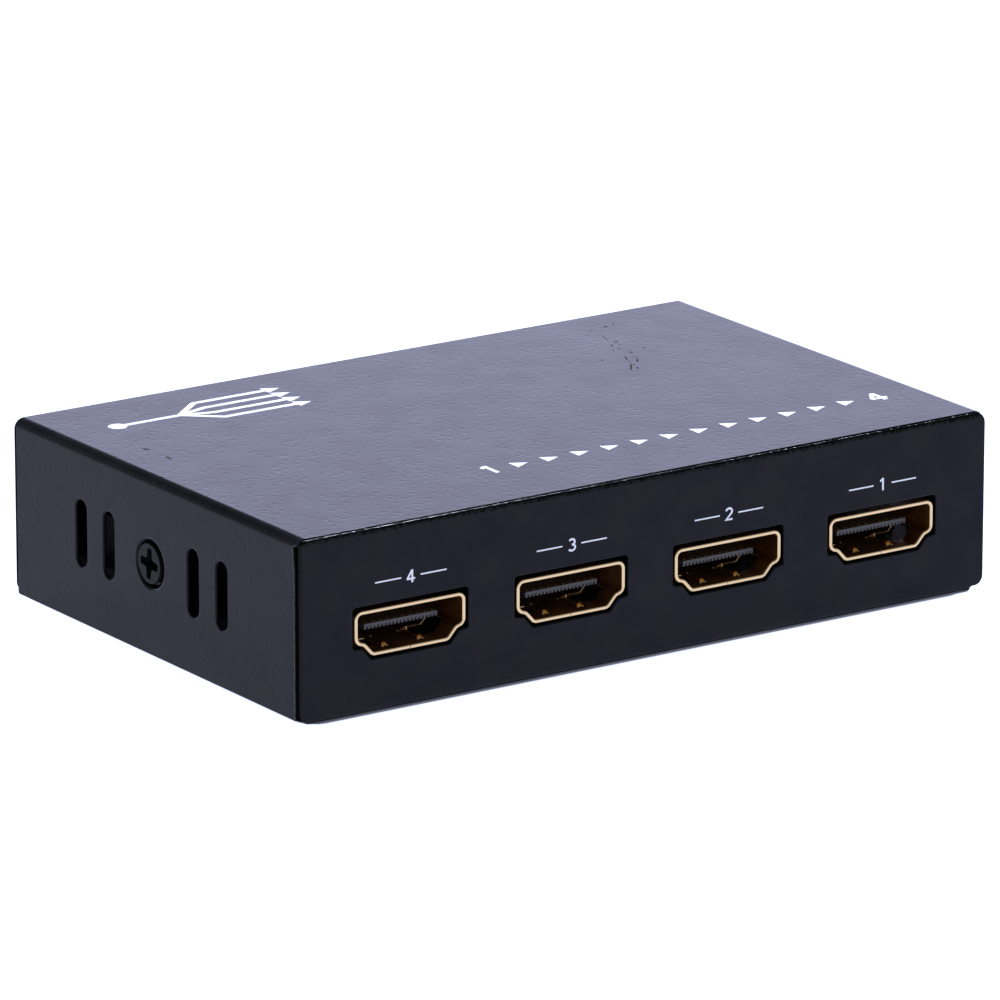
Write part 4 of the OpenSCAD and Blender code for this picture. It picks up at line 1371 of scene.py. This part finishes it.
@dataclass
class SocketDesign:
    """The shell and the insulator that all sockets share, with the rim at the origin and facing -Y."""

    shell_length: float = 11.5
    rim_radius: float = 0.13
    seam: float = 0.02
    seam_corner: float = 0.08
    seam_ease: float = 0.1
    seam_room: float = 0.01
    finger_x: float = 2.4
    finger_width: float = 1.0
    finger_root: float = 5.5
    finger_tip: float = 1.6
    slit: float = 0.3
    inner_slit: float = 0.14
    slit_edge: float = 0.12
    slit_corner: float = 0.06
    face_reach: float = 0.0001
    window_near: float = 2.6
    window_end: float = 5.2
    window_far: float = 6.7
    window_lift: float = 0.35
    lift_reach: float = 0.2
    lift_room: float = 0.01
    bump_width: float = 0.85
    bump_radius: float = 0.52
    bump_rise: float = 0.42
    bump_roll: float = 0.36
    bump_turns: tuple[float, ...] = (0.0, 0.5, 1.0, QUARTER)
    bump_steps: int = 20
    leg_ys: Point = (4.1, 8.2)
    leg_width: float = 1.0
    leg_end: float = -2.2
    leg_edge: float = 0.08
    wall_foot: float = 1.5
    wall_edge: float = 0.1
    tongue_width: float = 9.85
    tongue_thick: float = 0.66
    tongue_mid: float = 2.85
    tongue_front: float = 2.0
    tongue_root: float = 0.2
    tongue_corners: Point = (0.06, 0.12)
    tongue_edge: float = 0.028
    block_front: float = 7.6
    block_rear: float = 11.0
    block_gap: float = 0.05
    block_edge: float = 0.12
    notch_pitch: float = 0.5
    notch_count: int = 19
    notch_width: float = 0.2
    notch_height: float = 0.28
    notch_corner: float = 0.03

    def wrap(self) -> tuple[list[float], Callable[[Vector], Vector]]:
        """Work out how the flat shell wraps round the mouth.

        Returns:
            The distances along the blank at which it bends, and the function that wraps a point:
            X runs along the blank, Y into the socket, and Z is the height over the inner face.
        """
        inner, outer = MOUTH.outline(0), MOUTH.outline(MOUTH.shell)
        inner, outer = [*inner, inner[0]], [*outer, outer[0]]
        marks = [0.0]
        for a, b in zip(inner, inner[1:]):
            marks.append(marks[-1] + (b - a).length)

        def wrapped(point: Vector) -> Vector:
            """Wrap one point.

            Args:
                point: Point of the flat shell.

            Returns:
                Its place on the wrapped one.
            """
            i = min(max(bisect_right(marks, point.x) - 1, 0), len(marks) - 2)
            share = (point.x - marks[i]) / (marks[i + 1] - marks[i])
            near = inner[i].lerp(inner[i + 1], share)
            far = outer[i].lerp(outer[i + 1], share)
            spot = near.lerp(far, -point.z / MOUTH.shell)
            return Vector((spot.x, point.y, spot.y))

        return marks, wrapped

    def window(self, side: Side, length: float) -> list[Vector]:
        """Give the cut that frees one spring finger, and widens up the shoulder beside it.

        Args:
            side: Side of the mouth.
            length: Length of the blank round the mouth.

        Returns:
            The outline on the blank.
        """
        half, r = self.finger_width / 2, self.slit_corner
        wide, narrow = half + self.slit, half + self.inner_slit
        middle, tip, root = self.finger_x, self.finger_tip, self.finger_root
        loop = rounded([
            (middle - narrow, tip - self.slit, r), (middle + wide, tip - self.slit, r),
            (middle + wide, self.window_near, r), (self.window_far, self.window_near, r),
            (self.window_far, self.window_end, r), (middle + half, self.window_end, r),
            (middle + half, tip, r), (middle - half, tip, r), (middle - half, root, r),
            (middle - narrow, root, r)], 3)
        return hole(loop if side is Side.RIGHT else [Vector((length - p.x, p.y)) for p in loop])

    def shell(self) -> Draft:
        """Make the shell: the wrapped sheet, the bumps of its fingers, its rear wall and legs.

        Returns:
            The shell's draft, with numbers 0, 1 and 2 for the finishes of rims, faces and bumps.
        """
        draft = Draft()
        marks, wrapped = self.wrap()
        last = marks[-1] - self.seam
        blank = rounded([(x, y, self.seam_corner) for x, y in (
            (self.seam, 0), (last, 0), (last, self.shell_length), (self.seam, self.shell_length))], 3)
        windows = [self.window(side, marks[-1]) for side in Side]
        rim = edge_profile(MOUTH.shell, self.rim_radius)
        cut = edge_profile(MOUTH.shell, self.slit_edge, steps=2)
        seam = self.seam + self.seam_room
        draft.plate([Edge(blank, rim, ease=lambda p: 1.0 if seam < p.x < marks[-1] - seam else self.seam_ease),
                     *[Edge(window, cut) for window in windows]])
        draft.score(0, marks[1:-1])
        # Flat faces take the darker gold, painted shade inside the mouth; the rims keep the bright gold
        for face in draft.mesh.faces:
            heights = [vert.co.z for vert in face.verts]
            flat = min(heights) > -self.face_reach or max(heights) < self.face_reach - MOUTH.shell
            face.material_index = int(flat)
        for vert in draft.mesh.verts:
            past, end = vert.co.y - self.window_end + self.lift_room, self.window_far + self.lift_reach
            if 0 <= past < self.lift_reach and self.finger_x < vert.co.x < end:
                vert.co.z += self.window_lift
        draft.shape(wrapped)
        sheet = set(draft.mesh.faces)
        for side in Side:
            middle = Vector((side.value * self.finger_x, self.finger_tip + self.bump_radius,
                             MOUTH.shell + self.bump_rise - self.bump_radius))
            half, turn = self.bump_width / 2, self.bump_roll
            roll = [(0.0, -half), *[(self.bump_radius - turn + turn * math.sin(a), -half + turn - turn * math.cos(a))
                                    for a in self.bump_turns]]
            draft.lathe([*roll, *[(r, -h) for r, h in reversed(roll)]],
                        Matrix.Translation(middle) @ Matrix.Rotation(QUARTER, 4, "Y"), self.bump_steps)
        for face in set(draft.mesh.faces) - sheet:
            face.material_index = 2
        for side in Side:
            leg = side.value * (MOUTH.width + MOUTH.shell) / 2
            for y in self.leg_ys:
                draft.block((leg - MOUTH.shell / 2, y - self.leg_width / 2, self.leg_end),
                            (leg + MOUTH.shell / 2, y + self.leg_width / 2, MOUTH.height / 2), self.leg_edge)
        draft.block((-MOUTH.width / 2, self.shell_length - MOUTH.shell, MOUTH.shell + self.wall_foot),
                    (MOUTH.width / 2, self.shell_length, MOUTH.shell + MOUTH.height), self.wall_edge)
        return draft

    def insulator(self) -> Draft:
        """Make the insulator: the rear block and the tongue with the grooves of its contacts.

        Returns:
            The insulator's draft.
        """
        draft = Draft()
        half, low = self.tongue_width / 2, self.tongue_mid - self.tongue_thick / 2
        roof, top = low + self.notch_height, low + self.tongue_thick
        under, over = self.tongue_corners
        r = self.notch_corner
        corners: list[Corner] = [(-half, low, under)]
        for k in range(self.notch_count):
            middle = (k - (self.notch_count - 1) / 2) * self.notch_pitch
            near, far = middle - self.notch_width / 2, middle + self.notch_width / 2
            corners += [(near, low, r), (near, roof, r), (far, roof, r), (far, low, r)]
        corners += [(half, low, under), (half, top, over), (-half, top, over)]
        length = self.block_front - self.tongue_front + self.tongue_root
        draft.plate([Edge(rounded(corners, 2), edge_profile(length, self.tongue_edge, steps=2), 0)])
        draft.shape(lambda p: Vector((p.x, self.tongue_front - p.z, p.y)))
        rear = Draft()
        length = self.block_rear - self.block_front
        rear.plate([Edge(MOUTH.outline(-self.block_gap), edge_profile(length, self.block_edge), 0)])
        rear.shape(lambda p: Vector((p.x, self.block_front - p.z, p.y)))
        holder = bpy.data.meshes.new("block")
        rear.mesh.to_mesh(holder)
        rear.mesh.free()
        draft.mesh.from_mesh(holder)
        bpy.data.meshes.remove(holder)
        return draft


@dataclass
class SocketRow:
    """The four outputs in the front panel and the input in the rear one."""

    design: SocketDesign = field(default_factory=SocketDesign)

    def build(self) -> None:
        """Make each socket's shell and insulator where its CAD nodes are."""
        board = node_box("circuit_board")[1].z
        shell, insulator = self.design.shell(), self.design.insulator()
        for name in SOCKETS:
            low, high = node_box(f"{name}_shell")
            middle = (low.x + high.x) / 2
            if low.y < 0:
                place = Matrix.Translation((middle, low.y, board))
            else:
                place = Matrix.Translation((middle, high.y, board)) @ Matrix.Rotation(math.pi, 4, "Z")
            for draft, part, finishes, slot in (
                    (shell, "shell", [GOLD_SHELL, SHADED_GOLD, GOLD_CONTACT], Slot.SHELL),
                    (insulator, "insulator", [POLYMER], Slot.POLYMER)):
                copy = Draft(draft.mesh)
                copy.place(place)
                copy.piece(f"{name}_{part}_formed", finishes, Body.CASE, [f"{name}_{part}"])
        shell.mesh.free()
        insulator.mesh.free()


# Printed marks


@dataclass
class PrintedMarks:
    """White ink on the case: plain numbers over the sockets and on the top, and a line that becomes four."""

    stroke: float = 0.24
    figure_height: float = 1.5
    ink: float = 0.015
    number_z: float = 15.5
    rule_reach: float = 4.8
    rule_start: float = 1.3
    rule_stroke: float = 0.168
    sharpest: float = 0.4
    row_span: Point = (-14.0, 40.5)
    row_y: float = -18.6
    row_height: float = 3.0
    row_stroke: float = 0.55
    row_arrows: int = 12
    row_arrow: float = 2.0
    fork: Point = (-31.0, 20.4)
    fork_trunk: float = 8.5
    fork_reach: Point = (4.0, 14.0)
    fork_pitch: float = 2.3
    fork_stroke: float = 0.75
    fork_arrow: float = 2.1
    fork_lap: float = 0.2
    fork_dot: float = 1.125
    dot_steps: int = 24

    @staticmethod
    def arc(centre: Point, radius: Point, start: float, stop: float, steps: int = 10) -> list[Vector]:
        """Give an arc between two angles in degrees."""
        turns = [math.radians(start + (stop - start) * k / steps) for k in range(steps + 1)]
        return [Vector((centre[0] + radius[0] * math.cos(a), centre[1] + radius[1] * math.sin(a))) for a in turns]

    def figure(self, number: int, centre: Vector, height: float, stroke: float) -> list[list[Vector]]:
        """Give the outlines of a numeral.

        Args:
            number: The numeral, from 1 to 4.
            centre: Its middle.
            height: Its height.
            stroke: Width of its strokes.

        Returns:
            One outline for each stroke.
        """
        if number == 1:
            paths = [[(-0.22, 0.24), (0.02, 0.44)], [(0.04, 0.5), (0.04, -0.5)]]
        elif number == 2:
            paths = [[*self.arc((0, 0.2), (0.28, 0.25), 165, -38, 14), (-0.27, -0.43), (0.32, -0.43)]]
        elif number == 3:
            paths = [self.arc((0, 0.21), (0.26, 0.22), 150, -90, 14),
                     self.arc((0, -0.22), (0.3, 0.24), 90, -150, 14)]
        else:
            paths = [[(0.36, -0.2), (-0.36, -0.2)], [(-0.33, -0.2), (0.1, 0.47)], [(0.12, 0.5), (0.12, -0.5)]]
        return [self.ribbon([centre + Vector(p) * height for p in path], stroke) for path in paths]

    def ribbon(self, path: Sequence[Vector], width: float) -> list[Vector]:
        """Give the outline of a stroke of even width along a path.

        Args:
            path: Points along the middle of the stroke.
            width: Its width.

        Returns:
            The points of the outline.
        """
        left, right = [], []
        for i, point in enumerate(path):
            before = (point - path[i - 1]).normalized() if i else None
            after = (path[i + 1] - point).normalized() if i + 1 < len(path) else None
            first, second = before or after, after or before
            m, n = Vector((-first.y, first.x)), Vector((-second.y, second.x))
            arm = (m + n) * (width / 2 / max(1 + m.dot(n), self.sharpest))
            left.append(point + arm)
            right.append(point - arm)
        return [*right, *reversed(left)]

    @staticmethod
    def arrow(tip: Vector, size: float) -> list[Vector]:
        """Give the outline of an arrowhead that points along X."""
        return [tip, tip + Vector((-size, size / 2)), tip + Vector((-size, -size / 2))]

    def print(self, name: str, loops: Sequence[Sequence[Vector]], matrix: Matrix) -> None:
        """Make one printed group, its overlapping strokes joined into one film.

        Args:
            name: Name of the piece.
            loops: Outline of each stroke.
            matrix: Puts the paper's X and Y on the case, with the ink's height along Z.
        """
        points = [point for loop in loops for point in loop]
        starts = [sum(map(len, loops[:i])) for i in range(len(loops))]
        faces = [list(range(start, start + len(loop))) for start, loop in zip(starts, loops)]
        merge = 1e-4
        places, _, cells, _, _, sources = delaunay_2d_cdt(points, [], faces, 1, merge)
        cells = [cell for cell, source in zip(cells, sources) if source]
        sides = Counter(frozenset(pair) for cell in cells for pair in pairs(cell))
        used = sorted({i for cell in cells for i in cell})
        draft = Draft()
        upper, lower = ({i: draft.mesh.verts.new((*places[i], height)) for i in used}
                        for height in (0, -2 * self.ink))
        for cell in cells:
            draft.mesh.faces.new([upper[i] for i in cell])
            draft.mesh.faces.new([lower[i] for i in reversed(cell)])
            for i, j in pairs(cell):
                if sides[frozenset((i, j))] == 1:
                    draft.mesh.faces.new((upper[j], upper[i], lower[i], lower[j]))
        draft.place(matrix)
        draft.piece(name, [INK], Body.CASE)

    def build(self) -> None:
        """Print the numbers over the sockets, and the row and the fork on the top."""
        front = -node_box("bottom_chassis")[1].y
        face = Matrix.Translation((0, front + PRINT_ROOM - self.ink, 0)) @ Matrix.Rotation(QUARTER, 4, "X")
        for n, name in enumerate(OUTPUTS, 1):
            middle = Vector((node_middle(f"{name}_shell")[0], self.number_z))
            loops = self.figure(n, middle, self.figure_height, self.stroke)
            for side in Side:
                ends = [middle + Vector((side.value * x, 0)) for x in (self.rule_start, self.rule_reach)]
                loops.append(self.ribbon(ends, self.rule_stroke))
            self.print(f"{name}_number", loops, face)
        top = node_box("top_cover")[1].z
        lid = Matrix.Translation((0, 0, top - PRINT_ROOM + self.ink))
        self.print("top_row", self.row(), lid)
        self.print("top_fork", self.forked(), lid)

    def row(self) -> list[list[Vector]]:
        """Give the row of arrowheads that leads from a 1 to a 4.

        Returns:
            One outline for each stroke and arrowhead.
        """
        start, stop = (Vector((x, self.row_y)) for x in self.row_span)
        loops = [*self.figure(1, start, self.row_height, self.row_stroke),
                 *self.figure(4, stop, self.row_height, self.row_stroke)]
        for k in range(1, self.row_arrows + 1):
            tip = start.lerp(stop, k / (self.row_arrows + 1)) + Vector((self.row_arrow / 2, 0))
            loops.append(self.arrow(tip, self.row_arrow))
        return loops

    def forked(self) -> list[list[Vector]]:
        """Give the line that becomes four, with an arrowhead on each.

        Returns:
            One outline for each stroke and arrowhead.
        """
        root, (bend, reach), width = Vector(self.fork), self.fork_reach, self.fork_stroke
        tail = root - Vector((self.fork_trunk, 0))
        loops = [circle(tail, self.fork_dot, self.dot_steps),
                 self.ribbon([tail, root + Vector((width / 2, 0))], width)]
        for k in (-1.5, -0.5, 0.5, 1.5):
            step = Vector((0, k * self.fork_pitch))
            end = root + step + Vector((reach, 0))
            loops.append(self.ribbon([root, root + step + Vector((bend, 0)), end], width))
            loops.append(self.arrow(end + Vector((self.fork_arrow - self.fork_lap, 0)), self.fork_arrow))
        return loops


# Parts that keep their CAD shape


@dataclass
class CarriedParts:
    """CAD nodes whose shape is right: each keeps it and gets its finish and softened edges."""

    edge: float = 0.05
    edge_steps: int = 2
    crease: float = 35
    weld: float = 0.001
    finishes: dict[str, Finish] = field(default_factory=lambda: {
        "circuit_board": MASK, "board_standoffs": NICKEL, "board_screws": ZINC,
        "power_jack_body": NYLON, "power_jack_pin": NICKEL, "power_jack_spring": NICKEL,
        "power_lamp": LENS, "power_lamp_leads": TIN, "splitter_chip": EPOXY, "splitter_chip_legs": TIN,
        "port_protection_chips": EPOXY, "memory_chip": EPOXY, "small_chip_legs": TIN,
        "clock_crystal": STEEL_CAN, "power_regulator": EPOXY, "power_regulator_legs": TIN,
        "power_inductor": FERRITE, "power_diode": EPOXY, "bulk_capacitors": ALUMINIUM,
        "bulk_capacitor_seats": NYLON, "ceramic_capacitors": CERAMIC, "chip_resistors": GLAZE,
        **{f"{name}_contacts": GOLD_CONTACT for name in SOCKETS}})

    def build(self) -> None:
        """Dress each node."""
        for name, finish in self.finishes.items():
            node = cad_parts[name]
            node.data.materials.clear()
            node.data.materials.append(finish.material())
            weld = node.modifiers.new("joined_faces", "WELD")
            weld.merge_threshold = self.weld * MM
            bevel = node.modifiers.new("softened_edges", "BEVEL")
            bevel.width, bevel.segments = self.edge * MM, self.edge_steps
            bevel.limit_method, bevel.angle_limit = "ANGLE", math.radians(self.crease)
            bevel.harden_normals = False
            LOG.info("%s: CAD shape, %s", name, finish.name)


# Studio


@dataclass
class Studio:
    """Pale floor, soft light and the camera at the photograph's angle."""

    azimuth: float = -34.172
    elevation: float = 16.296
    distance: float = 1022.5
    aim: tuple[float, float, float] = (-0.003, 0.0, 11.582)
    lens: float = 316.35
    sensor: float = 36.0
    view_end: float = 100000.0
    floor_half: float = 6000.0
    floor_drop: float = 0.03
    backdrop_way: tuple[float, float, float] = (0.56, 0.83, 0.0)
    backdrop_span: Point = (0.35, 0.85)
    backdrop_top: Point = (0.29, 0.42)
    backdrop: str = "#d7dafd"
    front: str = "#707274"
    zenith: str = "#54565a"
    strength: float = 2.64
    key_place: tuple[float, float, float] = (168.0, 147.0, 310.0)
    key_size: float = 50.0
    key_power: float = 2.6
    key_tint: str = "#dfe4ff"

    def camera(self) -> None:
        """Set up the camera."""
        turn, rise = math.radians(self.azimuth), math.radians(self.elevation)
        look = Vector((math.sin(turn) * math.cos(rise), -math.cos(turn) * math.cos(rise), math.sin(rise)))
        data = bpy.data.cameras.new("photo_camera")
        data.lens, data.sensor_width, data.sensor_fit = self.lens, self.sensor, "HORIZONTAL"
        data.clip_end = self.view_end * MM
        made = add_object("photo_camera", data)
        made.location = (Vector(self.aim) + look * self.distance) * MM
        made.rotation_euler = look.to_track_quat("Z", "Y").to_euler()
        bpy.context.scene.camera = made

    def floor(self) -> None:
        """Lay the floor just under the case."""
        half, drop = self.floor_half * MM, -self.floor_drop * MM
        mesh = bpy.data.meshes.new("studio_floor")
        mesh.from_pydata([(-half, -half, drop), (half, -half, drop), (half, half, drop), (-half, half, drop)],
                         [], [(0, 1, 2, 3)])
        mesh.materials.append(LIGHT_TABLE.material())
        add_object("studio_floor", mesh)

    def light(self) -> None:
        """Light the surroundings, with a bright backdrop behind, and hang one small key light."""
        scene = bpy.context.scene
        scene.view_settings.view_transform = "Standard"
        world = bpy.data.worlds.new("studio")
        world.use_nodes = True
        scene.world = world
        tree = world.node_tree
        tree.nodes.clear()
        aim = add_node(tree, "TexCoord", out="Generated")
        up = add_node(tree, "SeparateXYZ", {"Vector": aim}, "Z")
        behind = add_node(tree, "VectorMath", {0: aim, 1: self.backdrop_way}, "Value", operation="DOT_PRODUCT")
        tone = linear(self.front)
        for value, (first, last), colour in ((behind, self.backdrop_span, self.backdrop),
                                             (up, self.backdrop_top, self.zenith)):
            share = add_node(tree, "MapRange", {
                "Value": value, "From Min": first, "From Max": last}, interpolation_type="SMOOTHSTEP")
            tone = add_node(tree, "Mix", {0: share, 6: tone, 7: linear(colour)}, 2, data_type="RGBA")
        back = add_node(tree, "Background", {"Color": tone, "Strength": self.strength})
        tree.links.new(back, tree.nodes.new("ShaderNodeOutputWorld").inputs["Surface"])
        lamp = bpy.data.lights.new("key", "AREA")
        lamp.shape, lamp.size, lamp.energy = "SQUARE", self.key_size * MM, self.key_power
        lamp.color = linear(self.key_tint)[:3]
        made = add_object("key", lamp)
        made.location = Vector(self.key_place) * MM
        made.rotation_euler = Vector(self.key_place).to_track_quat("Z", "Y").to_euler()

    def build(self) -> None:
        """Set up the whole studio."""
        self.camera()
        self.floor()
        self.light()


def main() -> None:
    """Build the studio and every sub-assembly."""
    logging.basicConfig(level=logging.INFO, format="%(name)s: %(message)s")
    for part in (Studio(), TopCover(), BottomChassis(), CoverScrew(Side.LEFT), CoverScrew(Side.RIGHT),
                 SocketRow(), PrintedMarks(), CarriedParts()):
        part.build()


if __name__ == "__main__":
    main()
